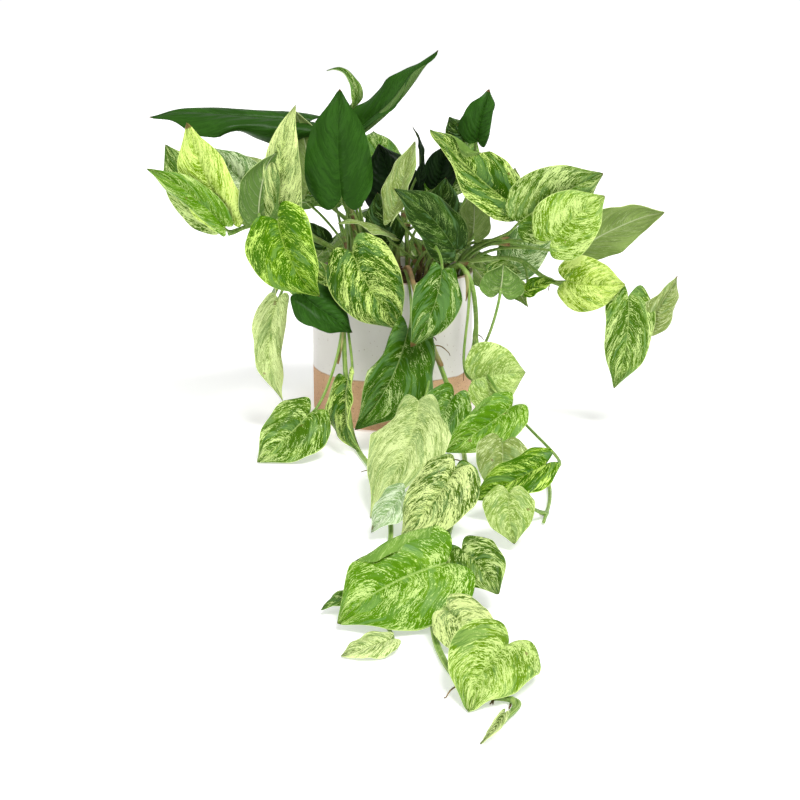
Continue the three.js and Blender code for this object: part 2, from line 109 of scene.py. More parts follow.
def node(tree, kind, settings=None, inputs=None):
    made = tree.nodes.new(kind)
    for name, value in (settings or {}).items():
        setattr(made, name, value)
    for name, value in (inputs or {}).items():
        if isinstance(value, Flow):
            tree.links.new(value.socket, made.inputs[name])
        else:
            made.inputs[name].default_value = value
    return lambda name=0: Flow(tree, made.outputs[name])


# %% Words for patterns, built on the two
def smooth(flow, low, high):
    """0 below low, 1 above high, and a soft rise between."""
    ends = {"Value": flow, "From Min": low, "From Max": high}
    return node(flow.tree, "ShaderNodeMapRange", dict(interpolation_type="SMOOTHSTEP"), ends)("Result")


def vector(tree, x, y, z):
    return node(tree, "ShaderNodeCombineXYZ", None, dict(X=x, Y=y, Z=z))("Vector")


def parts(flow):
    """The X, Y and Z of a vector, each to be asked for by its name."""
    return node(flow.tree, "ShaderNodeSeparateXYZ", None, {"Vector": flow})


def grain(where, scale, detail=2.0, rough=0.5, twist=0.0):
    """Cloudy noise around 0, about -0.25 to 0.25."""
    inputs = {"Vector": where, "Scale": scale, "Detail": detail, "Roughness": rough, "Distortion": twist}
    return node(where.tree, "ShaderNodeTexNoise", None, inputs)("Fac") - 0.5


FIRST_COLOUR, SECOND_COLOUR, MIXED_COLOUR = 6, 7, 2  # the Mix node's sockets for colours


def mix(share, first, second):
    inputs = {"Factor": share, FIRST_COLOUR: first, SECOND_COLOUR: second}
    tree = share.tree if isinstance(share, Flow) else first.tree
    return node(tree, "ShaderNodeMix", dict(data_type="RGBA"), inputs)(MIXED_COLOUR)


def tint(red, green, blue):
    """A screen colour, 0 to 255, as the linear colour that shaders use."""
    def linear(c):
        c /= 255
        return c / 12.92 if c <= 0.04045 else ((c + 0.055) / 1.055) ** 2.4
    return (linear(red), linear(green), linear(blue), 1.0)


def finish(name, paint, **constants):
    """A material: paint(tree) gives what changes over the surface, constants what doesn't."""
    material = bpy.data.materials.new(name)
    material.use_nodes = True
    tree = material.node_tree
    shader = tree.nodes["Principled BSDF"]
    for socket, value in constants.items():
        shader.inputs[socket.replace("_", " ")].default_value = value
    painted = paint(tree)
    height = painted.pop("Height", None)
    if height is not None:
        painted["Normal"] = node(tree, "ShaderNodeBump", None, {"Height": height, "Distance": 1.0})("Normal")
    for socket, value in painted.items():
        tree.links.new(value.socket, shader.inputs[socket])
    print("finish", name, "uses", len(tree.nodes), "nodes")
    return material


def object_place(tree):
    return node(tree, "ShaderNodeTexCoord")("Object")


# %% [markdown]
# Most of this plant is sheets: blades, papery sheaths, and stems that are a sheet rolled into a
# tube. So one helper makes a flat grid and carries each of its points to its place. It also
# writes down where on the sheet each point is, which the finishes read as an attribute.

# %% A grid carried into shape
def verts_of(made):
    return [g for g in made["geom"] if isinstance(g, bmesh.types.BMVert)]


def open_edges(bm):
    return [edge for edge in bm.edges if len(edge.link_faces) == 1]


def carried_grid(bm, columns, rows, place, seed=0.0, marks=None):
    """place(across, along) gives a point and its spot; across runs from -1 to 1, along from 0 to 1."""
    spot = bm.verts.layers.float_vector["spot"]
    grid = bmesh.ops.create_grid(bm, x_segments=columns, y_segments=rows, size=1)["verts"]
    for vert in grid:
        across, along = vert.co.x, (vert.co.y + 1) / 2
        vert.co, vert[spot] = place(across, along)
        vert[spot].z = seed
    for layer_name, value in (marks or {}).items():
        layer = bm.verts.layers.float_vector[layer_name]
        for vert in grid:
            vert[layer] = value
    return grid


def new_sheets():
    bm = bmesh.new()
    for layer_name in ("spot", "deep", "light", "cream", "share", "size"):
        bm.verts.layers.float_vector.new(layer_name)
    bm.verts.layers.float.new("wood")
    return bm


def mesh_object(bm, name, materials, node_names):
    for face in bm.faces:
        face.smooth = True
    for edge in open_edges(bm):
        edge.smooth = False
    mesh = bpy.data.meshes.new(name)
    bm.to_mesh(mesh)
    bm.free()
    for material in materials:
        mesh.materials.append(material)
    made = bpy.data.objects.new(name, mesh)
    bpy.context.scene.collection.objects.link(made)
    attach(made, "root")
    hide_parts(*node_names)
    return made


# %% [markdown]
# The pot is a straight stoneware cylinder, 150 mm wide and 137 mm high, with a rounded foot and
# a thin rim. On the wheel it is one wall pulled up from a disc, so a disc is pulled up here too:
# inset for the wall, pushed down for the inside, and its foot and rim rounded by bevels.

# %% Pot sizes
POT_RADIUS, POT_HEIGHT, POT_WALL, POT_FLOOR = 75 * MM, 137 * MM, 4 * MM, 8 * MM
FOOT_ROUND, LIP_ROUND = 8 * MM, 1.6 * MM
GLAZE_LINE = 47 * MM
SOIL_EDGE, SOIL_CROWN = 126 * MM, 130 * MM


def ring(bm, radius, height):
    """The edges of the circle with this radius at this height."""
    def on_it(vert):
        return abs(vert.co.xy.length - radius) < 1e-5 and abs(vert.co.z - height) < 1e-5
    return [edge for edge in bm.edges if all(on_it(vert) for vert in edge.verts)]


# %% Pull up the pot
bm = bmesh.new()
bmesh.ops.create_circle(bm, cap_ends=True, segments=160, radius=POT_RADIUS)
wall = bmesh.ops.extrude_face_region(bm, geom=bm.faces[:], use_keep_orig=True)
bmesh.ops.translate(bm, verts=verts_of(wall), vec=(0, 0, POT_HEIGHT))
bmesh.ops.recalc_face_normals(bm, faces=bm.faces[:])
top = [face for face in bm.faces if face.calc_center_median().z > POT_HEIGHT - 1e-5]
bmesh.ops.inset_region(bm, faces=top, thickness=POT_WALL, use_even_offset=True)
inside = bmesh.ops.extrude_face_region(bm, geom=top)
bmesh.ops.translate(bm, verts=verts_of(inside), vec=(0, 0, POT_FLOOR - POT_HEIGHT))
bmesh.ops.delete(bm, geom=top, context="FACES_ONLY")
BEVEL = dict(affect="EDGES", offset_type="OFFSET", profile=0.5, material=-1, clamp_overlap=True)
bmesh.ops.bevel(bm, geom=ring(bm, POT_RADIUS, 0), offset=FOOT_ROUND, segments=8, **BEVEL)
lips = ring(bm, POT_RADIUS, POT_HEIGHT) + ring(bm, POT_RADIUS - POT_WALL, POT_HEIGHT)
bmesh.ops.bevel(bm, geom=lips, offset=LIP_ROUND, segments=5, **BEVEL)
print("pot faces:", len(bm.faces), "open edges:", sum(len(e.link_faces) != 2 for e in bm.edges))


# %% [markdown]
# Its clay is bare and sandy at the foot, with dark specks of iron. Above an uneven line it wears a
# pale warm glaze with fine brown specks, smoother and a little proud of the clay, and the glaze
# breaks to brown at the rim's edge where it runs thin.

# %% Stoneware finish
def stoneware(tree):
    place = object_place(tree)
    height = parts(place)("Z")
    waver = grain(place, 14, 2) * 0.006 + grain(place, 60, 2) * 0.0016
    glazed = smooth(height + waver, GLAZE_LINE - 0.0004, GLAZE_LINE + 0.0006)
    cloud = grain(place, 18, 3)
    sand = grain(place, 900, 3, 0.7)
    clay = mix(smooth(cloud + sand * 0.8, -0.3, 0.3), tint(184, 142, 107), tint(212, 173, 134))
    iron = smooth(grain(place, 640, 2, 0.6), 0.135, 0.19)
    clay = mix(iron * 0.75, clay, tint(92, 62, 44))
    pale_sand = smooth(grain(place, 640, 1) * -1, 0.17, 0.22)
    clay = mix(pale_sand * 0.5, clay, tint(222, 196, 164))
    glaze = mix(smooth(cloud, -0.2, 0.2), tint(214, 210, 205), tint(223, 219, 214))
    fleck = smooth(grain(place, 420, 2, 0.5), 0.19, 0.22)
    glaze = mix(fleck * 0.55, glaze, tint(150, 126, 104))
    thin = smooth(height + grain(place, 90, 2) * 0.002, POT_HEIGHT - 0.0016, POT_HEIGHT - 0.0004)
    glaze = mix(thin * 0.8, glaze, tint(150, 112, 84))
    edge = smooth(abs(height + waver - GLAZE_LINE) * -1, -0.0012, 0)
    colour = mix(glazed, clay, glaze)
    colour = mix(edge * 0.35, colour, tint(148, 112, 84))
    rough = 0.82 - glazed * 0.42 + sand * 0.1
    body = grain(place, 45, 3) * 0.0003
    relief = body + glazed * 0.0004 + (1 - glazed) * sand * 0.0004
    relief = relief + glazed * grain(place, 260, 2) * 0.00006
    return {"Base Color": colour, "Roughness": rough, "Height": relief}


pot_finish = finish("stoneware_finish", stoneware, Specular_IOR_Level=0.5)
mesh_object(bm, "stoneware_pot", [pot_finish], ["pot"])

# %% [markdown]
# The soil is a dark crumbly bed, a little crowned, with white perlite and bark on it. A square
# grid is carried onto a disc and roughened with noise, then its edge is pulled down into the pot.

# %% Soil bed
SOIL_RADIUS = POT_RADIUS - POT_WALL - 0.6 * MM


def soil_height(x, y):
    share = min(1, math.hypot(x, y) / SOIL_RADIUS)
    lumps = noise.noise(Vector((x, y, 0)) * 180) * 1.6 + noise.noise(Vector((x, y, 7)) * 520) * 0.9
    return SOIL_CROWN + (SOIL_EDGE - SOIL_CROWN) * share ** 2 + lumps * MM * (1 - share ** 8)


def on_soil(across, along):
    x, y = across, 2 * along - 1
    disc_x, disc_y = x * math.sqrt(1 - y * y / 2), y * math.sqrt(1 - x * x / 2)
    x, y = disc_x * SOIL_RADIUS, disc_y * SOIL_RADIUS
    return Vector((x, y, soil_height(x, y))), Vector((0, 0, 0))


bm = new_sheets()
carried_grid(bm, 96, 96, on_soil)
for vert in verts_of(bmesh.ops.extrude_edge_only(bm, edges=open_edges(bm))):
    vert.co.z = POT_FLOOR + 0.5 * MM
bmesh.ops.holes_fill(bm, edges=open_edges(bm))
bmesh.ops.recalc_face_normals(bm, faces=bm.faces[:])
print("soil faces:", len(bm.faces))


# %% Soil, perlite and bark finishes
def soil_paint(tree):
    place = object_place(tree)
    crumb = grain(place, 300, 4, 0.65)
    damp = grain(place, 30, 2)
    colour = mix(smooth(crumb + damp * 0.6, -0.25, 0.25), tint(30, 20, 14), tint(92, 68, 50))
    fibre = smooth(grain(place, 700, 2), 0.14, 0.2)
    colour = mix(fibre * 0.6, colour, tint(130, 98, 70))
    return {"Base Color": colour, "Roughness": 0.95 - crumb * 0.1, "Height": crumb * 0.0016}


def perlite_paint(tree):
    place = object_place(tree)
    pits = grain(place, 900, 3, 0.6)
    colour = mix(smooth(pits, -0.2, 0.1), tint(168, 158, 144), tint(240, 237, 228))
    return {"Base Color": colour, "Roughness": 0.9 + pits * 0.1, "Height": pits * 0.0005}


def bark_paint(tree):
    place = object_place(tree)
    fibres = grain(place, 420, 4, 0.7, 1.5)
    colour = mix(smooth(fibres, -0.2, 0.2), tint(48, 30, 20), tint(134, 96, 64))
    return {"Base Color": colour, "Roughness": 0.85 + fibres * 0.2, "Height": fibres * 0.0006}


mesh_object(bm, "soil_bed", [finish("soil_finish", soil_paint)], ["soil"])


# %% Scatter perlite and bark
def scattered(name, count, sizes, squash, material, seed):
    chance = random.Random(seed)
    bm = bmesh.new()
    for _ in range(count):
        turn, share = chance.uniform(0, math.tau), math.sqrt(chance.random()) * 0.93
        x, y = share * SOIL_RADIUS * math.cos(turn), share * SOIL_RADIUS * math.sin(turn)
        size = chance.uniform(*sizes) * MM
        grains = bmesh.ops.create_icosphere(bm, subdivisions=1, radius=size / 2)["verts"]
        for vert in grains:
            vert.co *= chance.uniform(0.7, 1.15)
        stretch = Vector((1, chance.uniform(*squash), chance.uniform(*squash)))
        bmesh.ops.scale(bm, verts=grains, vec=stretch)
        yaw, tilt = chance.uniform(0, math.tau), chance.uniform(-0.4, 0.4)
        spin = Matrix.Rotation(yaw, 3, "Z") @ Matrix.Rotation(tilt, 3, "X")
        bmesh.ops.rotate(bm, verts=grains, cent=(0, 0, 0), matrix=spin)
        bmesh.ops.translate(bm, verts=grains, vec=(x, y, soil_height(x, y) + size * 0.15))
    print(name, "faces:", len(bm.faces))
    return mesh_object(bm, name, [material], ["soil"])


scattered("perlite", 150, (1.4, 3.6), (0.7, 1.0), finish("perlite_finish", perlite_paint), 5)
scattered("bark_bits", 170, (2.5, 7.0), (0.25, 0.5), finish("bark_finish", bark_paint), 6)

# %% [markdown]
# The plant is the list that the solids are made from: for each leafy stem its route, and for
# each leaf its kind, where its stalk leaves the stem, its base and tip, the way its upper side
# faces, its width by length, the fold of each half, its curl, twist and bend. A few small leaves
# are turned or bowed a little further here than in the solids. Sizes are in millimetres, and
# seen() moves a point along the eye's line of sight, so that depth doesn't change the picture.

# %% Words for the plant's list
LYING, SETTLING = 2.7, 4.3  # how high a stem's middle is where it lies, and just before
UPRIGHT = [104, 120, 134]  # every stem starts in the soil with a straight piece up


def at(x, y, z):
    return Vector((x, y, z)) * MM


def seen(x, z, y):
    nearness = 1 - y * MM / EYE.y
    return Vector((EYE.x + (x * MM - EYE.x) * nearness, y * MM, EYE.z + (z * MM - EYE.z) * nearness))


def rooted(x, y, *points):
    return [*(at(x, y, z) for z in UPRIGHT), *points]


# %% The stems and their leaves
STEMS = {}


def grow(name, route, *leaves):
    """Each leaf: kind, place on the stem, base, tip, way it faces, width, folds, curl, twist, bend."""
    STEMS[name] = dict(route=route, leaves=leaves)


grow(
    "left_upper",
    rooted(-40, -10, at(-50, -18, 155), seen(-88, 172, -38), seen(-122, 180, -46), seen(-153, 170, -52)),
    ("streaked", 0.6, seen(-104, 184, -64), seen(-91, 289, -72), [0.2, -1, 0], 0.44, [26, 48], 10, -50, 0.05),
    ("edged", 0.7, seen(-124, 186, -84), seen(-109, 248, -82), [-0.3, 0.8, 0.4],
     0.75, [40, 25], 10, 25, -0.05),
    ("gold", 0.88, seen(-153, 187, -70), seen(-188, 272, -78), [-0.3, -0.95, 0.1],
     0.6, [18, 22], -12, 18, 0.05),
    ("marbled", 0.84, seen(-160, 186, -46), seen(-208, 254, -42), [-0.1, -1, 0.1],
     0.62, [10, 10], 10, 25, 0.04),
    ("fresh", 0.97, seen(-157, 178, -76), seen(-225, 231, -94), [-0.55, -0.55, 0.6],
     0.42, [35, 20], -20, 30, -0.06),
    ("silver", 0.76, seen(-124, 205, -30), seen(-165, 250, -24), [0.1, -0.9, 0.4],
     0.8, [10, 10], 15, -20, 0.04),
    ("olive", 0.58, seen(-104, 203, -16), seen(-137, 245, -10), [-0.2, -0.8, 0.5],
     0.7, [12, 12], 12, 20, 0.03),
)
grow(
    "left_front",
    rooted(-50, -32, at(-58, -48, 146), seen(-84, 148, -74)),
    ("lime", 0.98, seen(-106, 182, -94), seen(-70, 110, -110), [-0.15, -0.95, 0.3],
     1.0, [6, 40], 10, 12, -0.08),
    ("speckled", 0.8, seen(-90, 140, -62), seen(-66, 94, -74), [0.1, -0.9, 0.3], 0.8, [10, 10], 8, -20, 0.04),
    ("dark", 0.5, seen(-62, 162, -8), seen(-84, 182, 2), [0, -0.9, 0.4], 0.7, [10, 10], 5, 10, 0.03),
    ("pale", 0.95, seen(-107, 108, -70), seen(-108, 8, -78), [-0.25, -0.95, 0.1], 0.4, [35, 10], 6, 20, -0.1),
)
grow(
    "left_tall",
    rooted(-30, 2, at(-33, 0, 165), at(-38, -4, 190)),
    ("solid", 0.95, seen(-76, 274, 12), seen(-222, 284, 2), [0.05, -0.42, 0.9], 0.56, [-22, 2], 8, 8, 0.02),
    ("solid", 0.75, seen(-47, 206, -44), seen(-47, 303, -36), [0.06, -1, 0.05], 0.66, [10, 14], -8, 6, 0.03),
    ("green", 0.95, seen(-44, 284, -6), seen(-60, 321, -12), [0.85, -0.5, 0.2],
     0.56, [30, 30], 180, 20, 0.03),
    ("solid", 0.99, seen(-31, 262, 2), seen(37, 339, -22), [-0.4, -0.75, 0.5],
     0.52, [35, 20], -25, -20, -0.05),
    ("olive", 0.85, seen(-78, 214, -8), seen(-88, 284, 0), [0.2, 0.9, 0.25], 0.6, [20, 20], 24, 20, 0.04),
)
grow(
    "left_vine",
    rooted(-24, -42, at(-34, -64, 150), at(-43, -84, 133), at(-42, -91, 90), at(-40, -95, 50),
        at(-36, -106, 16), at(-30, -128, SETTLING), at(-18, -175, LYING), at(-8, -235, LYING),
        at(0, -300, LYING), at(-2, -360, LYING), at(-14, -405, LYING), at(-8, -452, LYING)),
    ("speckled", 0.1, seen(-37, 152, -88), seen(8, 78, -93), [0.1, -0.95, 0.3],
     0.84, [16, 16], 10, 14, -0.05),
    ("solid", 0.17, seen(-84, 112, -94), seen(-36, 78, -98), [0.15, -0.8, 0.6],
     0.75, [12, 12], 10, -12, -0.04),
    ("speckled", 0.26, at(-38, -104, 56), at(-31, -152, 8), [-0.6, -0.75, 0.3],
     0.66, [20, 45], 14, 30, -0.06),
    ("marbled", 0.34, at(-70, -130, 36), at(-112, -164, 4), [-0.1, -0.8, 0.6], 0.9, [10, 12], 16, -15, 0.05),
    ("frosted", 0.66, at(10, -302, 26), at(-14, -334, 10), [-0.2, -0.6, 0.8], 0.7, [14, 10], 14, 10, 0.04),
    ("green", 0.86, at(-20, -438, 10), at(-42, -452, 5), [-0.3, -0.3, 0.9], 0.6, [10, 10], 10, 10, 0.03),
    ("pale", 0.98, at(1, -494, 5), at(-27, -509, 3), [-0.1, -0.3, 0.95], 0.7, [10, 10], 14, -10, 0.05),
)
grow(
    "main_vine",
    rooted(8, -46, at(14, -66, 150), at(20, -86, 134), at(30, -93, 100), at(48, -97, 52),
        at(58, -110, 16), at(61, -134, SETTLING), at(60, -190, LYING), at(53, -245, LYING),
        at(44, -305, LYING), at(36, -365, LYING), at(29, -420, LYING), at(27, -470, LYING),
        at(30, -506, LYING), at(40, -540, LYING), at(56, -557, LYING), at(70, -563, LYING),
        at(60, -588, 5)),
    ("edged", 0.14, seen(14, 79, -104), seen(-36, -20, -142), [-0.2, -0.9, 0.3],
     0.76, [52, 4], 12, -28, 0.08),
    ("pale", 0.27, at(22, -170, 58), at(-14, -294, 9), [-0.15, -0.6, 0.8], 0.5, [10, 18], 14, -16, 0.06),
    ("green", 0.28, at(52, -150, 56), at(33, -186, 14), [0.1, -0.9, 0.35], 0.7, [10, 12], 10, 20, -0.06),
    ("marbled", 0.46, at(50, -250, 28), at(56, -282, 7), [0.1, -0.6, 0.8], 0.78, [10, 10], 10, 15, 0.04),
    ("streaked", 0.55, at(46, -306, 44), at(8, -338, 7), [-0.1, -0.7, 0.7], 0.8, [12, 12], 12, -18, 0.05),
    ("fresh", 0.72, at(35, -446, 32), at(-31, -476, 8), [-0.05, -0.75, 0.65], 0.98, [8, 14], 12, 12, -0.05),
    ("marbled", 0.73, at(46, -428, 34), at(68, -450, 14), [0.3, -0.7, 0.6], 1.0, [12, 12], 10, 15, 0.05),
    ("streaked", 0.86, at(36, -484, 18), at(66, -510, 6), [0.1, -0.7, 0.7], 0.84, [10, 10], 14, -15, -0.05),
    ("sunny", 0.9, at(68, -524, 17), at(43, -572, 3), [-0.05, -0.75, 0.6], 0.92, [14, 14], 14, 18, -0.07),
    ("pale", 0.93, at(60, -586, 8), at(47, -610, 6), [0.1, -0.4, 0.9], 0.34, [60, 50], 10, -12, 0.04),
)
grow(
    "right_vine",
    rooted(50, -32, at(60, -44, 148), at(70, -56, 136), at(75, -62, 100), at(72, -70, 60),
        at(78, -86, 20), at(92, -114, SETTLING), at(112, -160, LYING), at(124, -205, LYING),
        at(122, -250, LYING), at(112, -300, LYING)),
    ("green", 0.47, seen(101, 117, -86), seen(103, 141, -76), [0, 0.95, -0.2], 1.9, [26, 26], 20, 6, 0.03),
    ("fine", 0.3, seen(77, 30, -104), seen(127, 37, -92), [-0.1, -1, 0.2], 1.3, [8, 14], 14, 10, 0.03),
    ("fresh", 0.48, at(98, -174, 54), at(42, -206, 26), [0, -0.55, 0.8], 0.74, [30, 20], 16, -24, 0.05),
    ("olive", 0.62, at(86, -236, 42), at(80, -264, 9), [0.1, -0.7, 0.7], 1.0, [10, 10], 12, 15, 0.04),
    ("lime", 0.44, at(114, -284, 42), at(58, -292, 18), [0, -0.5, 0.85], 0.62, [28, 16], 12, -22, 0.05),
    ("fine", 0.97, at(84, -326, 34), at(86, -352, 7), [0.1, -0.7, 0.7], 1.0, [10, 10], 12, 14, -0.05),
)
grow(
    "right_arch",
    rooted(46, -12, at(64, -20, 146), seen(116, 146, -34), seen(142, 129, -38), seen(164, 120, -40),
        seen(216, 111, -44), seen(242, 93, -48)),
    ("silver", 0.42, seen(112, 138, -8), seen(150, 182, 4), [0.1, -0.9, 0.4], 0.75, [10, 10], 12, 20, 0.04),
    ("gold", 0.66, seen(163, 126, -54), seen(218, 123, -66), [0.1, -0.95, 0.2],
     1.0, [12, 12], 12, -18, -0.06),
    ("marbled", 0.86, seen(221, 110, -58), seen(211, 20, -64), [0.1, -1, 0.1], 0.56, [16, 16], 8, 16, 0.05),
    ("olive", 0.99, seen(243, 84, -54), seen(268, 130, -48), [0.5, -0.8, 0.3], 0.7, [36, 26], 30, 50, 0.06),
    ("marbled", 0.36, seen(90, 136, -48), seen(120, 134, -58), [0, -0.7, 0.7], 0.7, [10, 10], 10, 15, 0.05),
    ("lime", 0.52, seen(126, 116, -60), seen(152, 126, -72), [0, -0.8, 0.6], 0.6, [12, 12], 10, -15, 0.05),
)
grow(
    "right_upper",
    rooted(36, 8, at(50, 6, 160), at(74, 2, 180), at(94, -6, 196)),
    ("solid", 0.75, seen(78, 256, -6), seen(90, 302, -14), [0.2, -0.9, 0.3], 0.8, [30, 12], 10, 25, 0.05),
    ("dark", 0.7, seen(66, 256, 6), seen(52, 278, 8), [-0.2, -0.9, 0.3], 0.9, [10, 10], 10, 15, 0.04),
    ("speckled", 0.97, seen(108, 200, -32), seen(40, 269, -48), [0.25, -0.85, 0.4],
     0.66, [12, 34], -14, 26, 0.04),
    ("olive", 0.9, seen(102, 202, -8), seen(112, 232, -16), [-0.2, 0.9, 0.3], 0.95, [25, 25], 10, 25, 0.05),
    ("olive", 0.5, seen(74, 168, -30), seen(74, 208, -22), [-0.2, 0.9, 0.3], 0.85, [14, 14], 5, -25, 0.05),
)
grow(
    "right_mid",
    rooted(60, 6, at(78, -4, 160), at(100, -26, 168)),
    ("marbled", 0.95, seen(118, 181, -60), seen(195, 226, -64), [0.1, -0.95, 0.3],
     0.74, [10, 14], 10, 14, 0.04),
    ("sunny", 0.99, seen(148, 164, -78), seen(196, 206, -84), [0.1, -0.95, 0.3],
     1.0, [14, 14], 12, -12, 0.04),
    ("olive", 0.85, seen(176, 158, -24), seen(251, 192, -20), [0, 0.9, 0.4], 0.62, [10, 10], 10, -12, -0.03),
)
# Most of this stem's leaves take the near-black kind: painted shade for leaves deep in the crown.
grow(
    "centre_dark",
    rooted(4, 10, at(6, 12, 165), at(12, 14, 190)),
    ("shaded_black", 0.9, seen(8, 198, 14), seen(-12, 254, 22), [0, -0.95, 0.3], 0.95, [10, 10], 10, 15, 0.03),
    ("shaded_black", 0.95, seen(42, 216, 14), seen(52, 254, 16), [0.1, -0.95, 0.2], 0.8, [10, 10], 10, -15, 0.03),
    ("dark", 0.85, seen(46, 176, -1), seen(50, 222, -5), [0.1, -0.95, 0.3], 0.8, [10, 10], 10, 12, 0.03),
    ("dark", 0.7, seen(-2, 165, -8), seen(-14, 208, -12), [0, -0.95, 0.3], 0.8, [10, 10], 8, -12, 0.03),
    ("shaded_black", 0.97, seen(25, 222, 2), seen(22, 270, -2), [0.8, -0.3, 0.2], 0.45, [30, 30], 20, 40, 0.04),
)
grow(
    "centre_front",
    rooted(24, -20, at(26, -24, 150), at(30, -30, 165)),
    ("dark", 0.95, seen(58, 156, -50), seen(3, 213, -72), [0.1, -0.9, 0.4], 0.58, [10, 16], 12, 18, -0.05),
    ("olive", 0.8, seen(2, 186, -58), seen(21, 256, -52), [-0.6, -0.7, 0.2], 0.5, [40, 30], -14, 55, 0.05),
    ("olive", 0.6, seen(-2, 168, -46), seen(-50, 184, -62), [0, -0.15, 1], 0.55, [10, 10], 14, 10, -0.05),
    ("edged", 0.97, seen(46, 136, -114), seen(18, 62, -140), [0.05, -0.97, 0.2],
     0.62, [14, 14], 8, -14, 0.07),
)

# %% [markdown]
# The far side, which the front view doesn't show, follows a rule: leaves hang over the rim, lean
# out above it or stand, in turn, each swayed a little from its neighbour.

# %% The far side
POSES = [
    dict(reach=94, lift=150, length=84, drop=-0.95, face=0.75, kind="marbled"),
    dict(reach=84, lift=188, length=72, drop=-0.2, face=0.35, kind="green"),
    dict(reach=52, lift=200, length=66, drop=1.1, face=-0.5, kind="green"),
]
SWAY_STEP = 2.4
SWAY = dict(out=6, up=8, lean=0.3, face=0.2, length=0.12, width=0.08, twist=24, bend=0.05)


def far_leaves(count, first_turn, last_turn):
    leaves = []
    for i in range(count):
        share = (i + 0.5) / count
        pose = POSES[i % len(POSES)]
        turn = math.radians(first_turn + (last_turn - first_turn) * share)
        sway = math.sin(SWAY_STEP * i + first_turn)
        out = Vector((math.cos(turn), math.sin(turn), 0))
        side = Vector((-out.y, out.x, 0))
        base = out * (pose["reach"] + SWAY["out"] * sway)
        base.z = pose["lift"] + SWAY["up"] * sway
        way = Vector((out.x, out.y, pose["drop"])) + side * (SWAY["lean"] * sway)
        tip = base + way.normalized() * (pose["length"] * (1 + SWAY["length"] * sway))
        upper = out * pose["face"] - side * (SWAY["face"] * sway)
        upper.z = 0.8
        wide = 0.74 + SWAY["width"] * sway
        shape = (wide, [12, 14], 16, SWAY["twist"] * sway, SWAY["bend"] * sway)
        leaves.append((pose["kind"], 0.55 + 0.4 * share, base * MM, tip * MM, upper, *shape))
    return leaves


grow("back_left", rooted(-40, 22, at(-44, 26, 156), at(-50, 32, 176)), *far_leaves(5, 162, 126))
grow("back_centre", rooted(-6, 44, at(-6, 48, 156), at(-4, 54, 176)), *far_leaves(5, 116, 66))
grow("back_right", rooted(36, 34, at(40, 38, 156), at(46, 42, 176)), *far_leaves(5, 54, 14))
print("stems:", len(STEMS), "leaves:", sum(len(stem["leaves"]) for stem in STEMS.values()))

# %% [markdown]
# A blade is a heart: its half width grows fast from the stalk and runs out to a drawn-out tip,
# and two lobes reach back beside the stalk. It folds up from the midrib, curls along it, and its
# edge waves. These are the solid's own formulas on a finer grid, with the corner at the foot
# of each lobe rounded, the tip drawn thinner, and the midrib sunk into a channel.
#
# The edge of an older blade often rolls. A rolled edge leaves the flat part on a small arc, so
# a point's way along the blade becomes a way round that arc, and nothing is stretched. Rolled
# upwards, it goes on past the arc as a flap that lies back and shows its underside.

# %% Sizes of a blade, most of them shares of its length
MIDRIB_ROUND, STALK_END, LOBE, WAVE, CRINKLE, TWIST_FREE = 0.04, 0.05, 0.15, 0.04, 0.006, 0.3
HEART_FOOT, HEART_WIDEST, HEART_HOLD, HEART_TAPER = 0.72, 0.24, 1.9, 0.82
FOOT_CORNER, TIP_FROM, TIP_THIN = 0.1, 0.66, 0.42
CHANNEL_DEEP, CHANNEL_HALF = 0.7 * MM, 0.06
REST, PRESSED = 1.2 * MM, 0.03  # a blade this low lies on the surface, and is pressed this flat
ROLL_RADIUS, ROLL_TURN = 3.6 * MM, 2.85


# %% One blade as a formula
def heart(t):
    if t < HEART_WIDEST:
        return 1 - (1 - HEART_FOOT) * (1 - t / HEART_WIDEST) ** 2
    return (1 - ((t - HEART_WIDEST) / (1 - HEART_WIDEST)) ** HEART_HOLD) ** HEART_TAPER


def step(low, high, value):
    share = min(1, max(0, (value - low) / (high - low)))
    return share * share * (3 - 2 * share)


def rolled(edge, reach, t, roll):
    """How far out and how high a point lies where the edge of a blade rolls.

    A roll says which half it is on, the share of the half width that stays flat, where along the
    blade it begins and ends, and its way: 1 is up and over, and below 0 is softly back.
    """
    _, held_share, first, last, way = roll
    window = step(first - 0.12, first + 0.12, t) * (1 - step(last - 0.3, last, t))
    held = edge * (1 - (1 - held_share) * window)
    if reach <= held:
        return reach, 0
    radius = ROLL_RADIUS if way > 0 else max(ROLL_RADIUS, (edge - held) / ROLL_TURN)
    turn = min(ROLL_TURN, (reach - held) / radius)
    flap = reach - held - radius * turn
    out = held + radius * math.sin(turn) + flap * math.cos(turn)
    over = radius * (1 - math.cos(turn)) + flap * math.sin(turn)
    return out, way * over


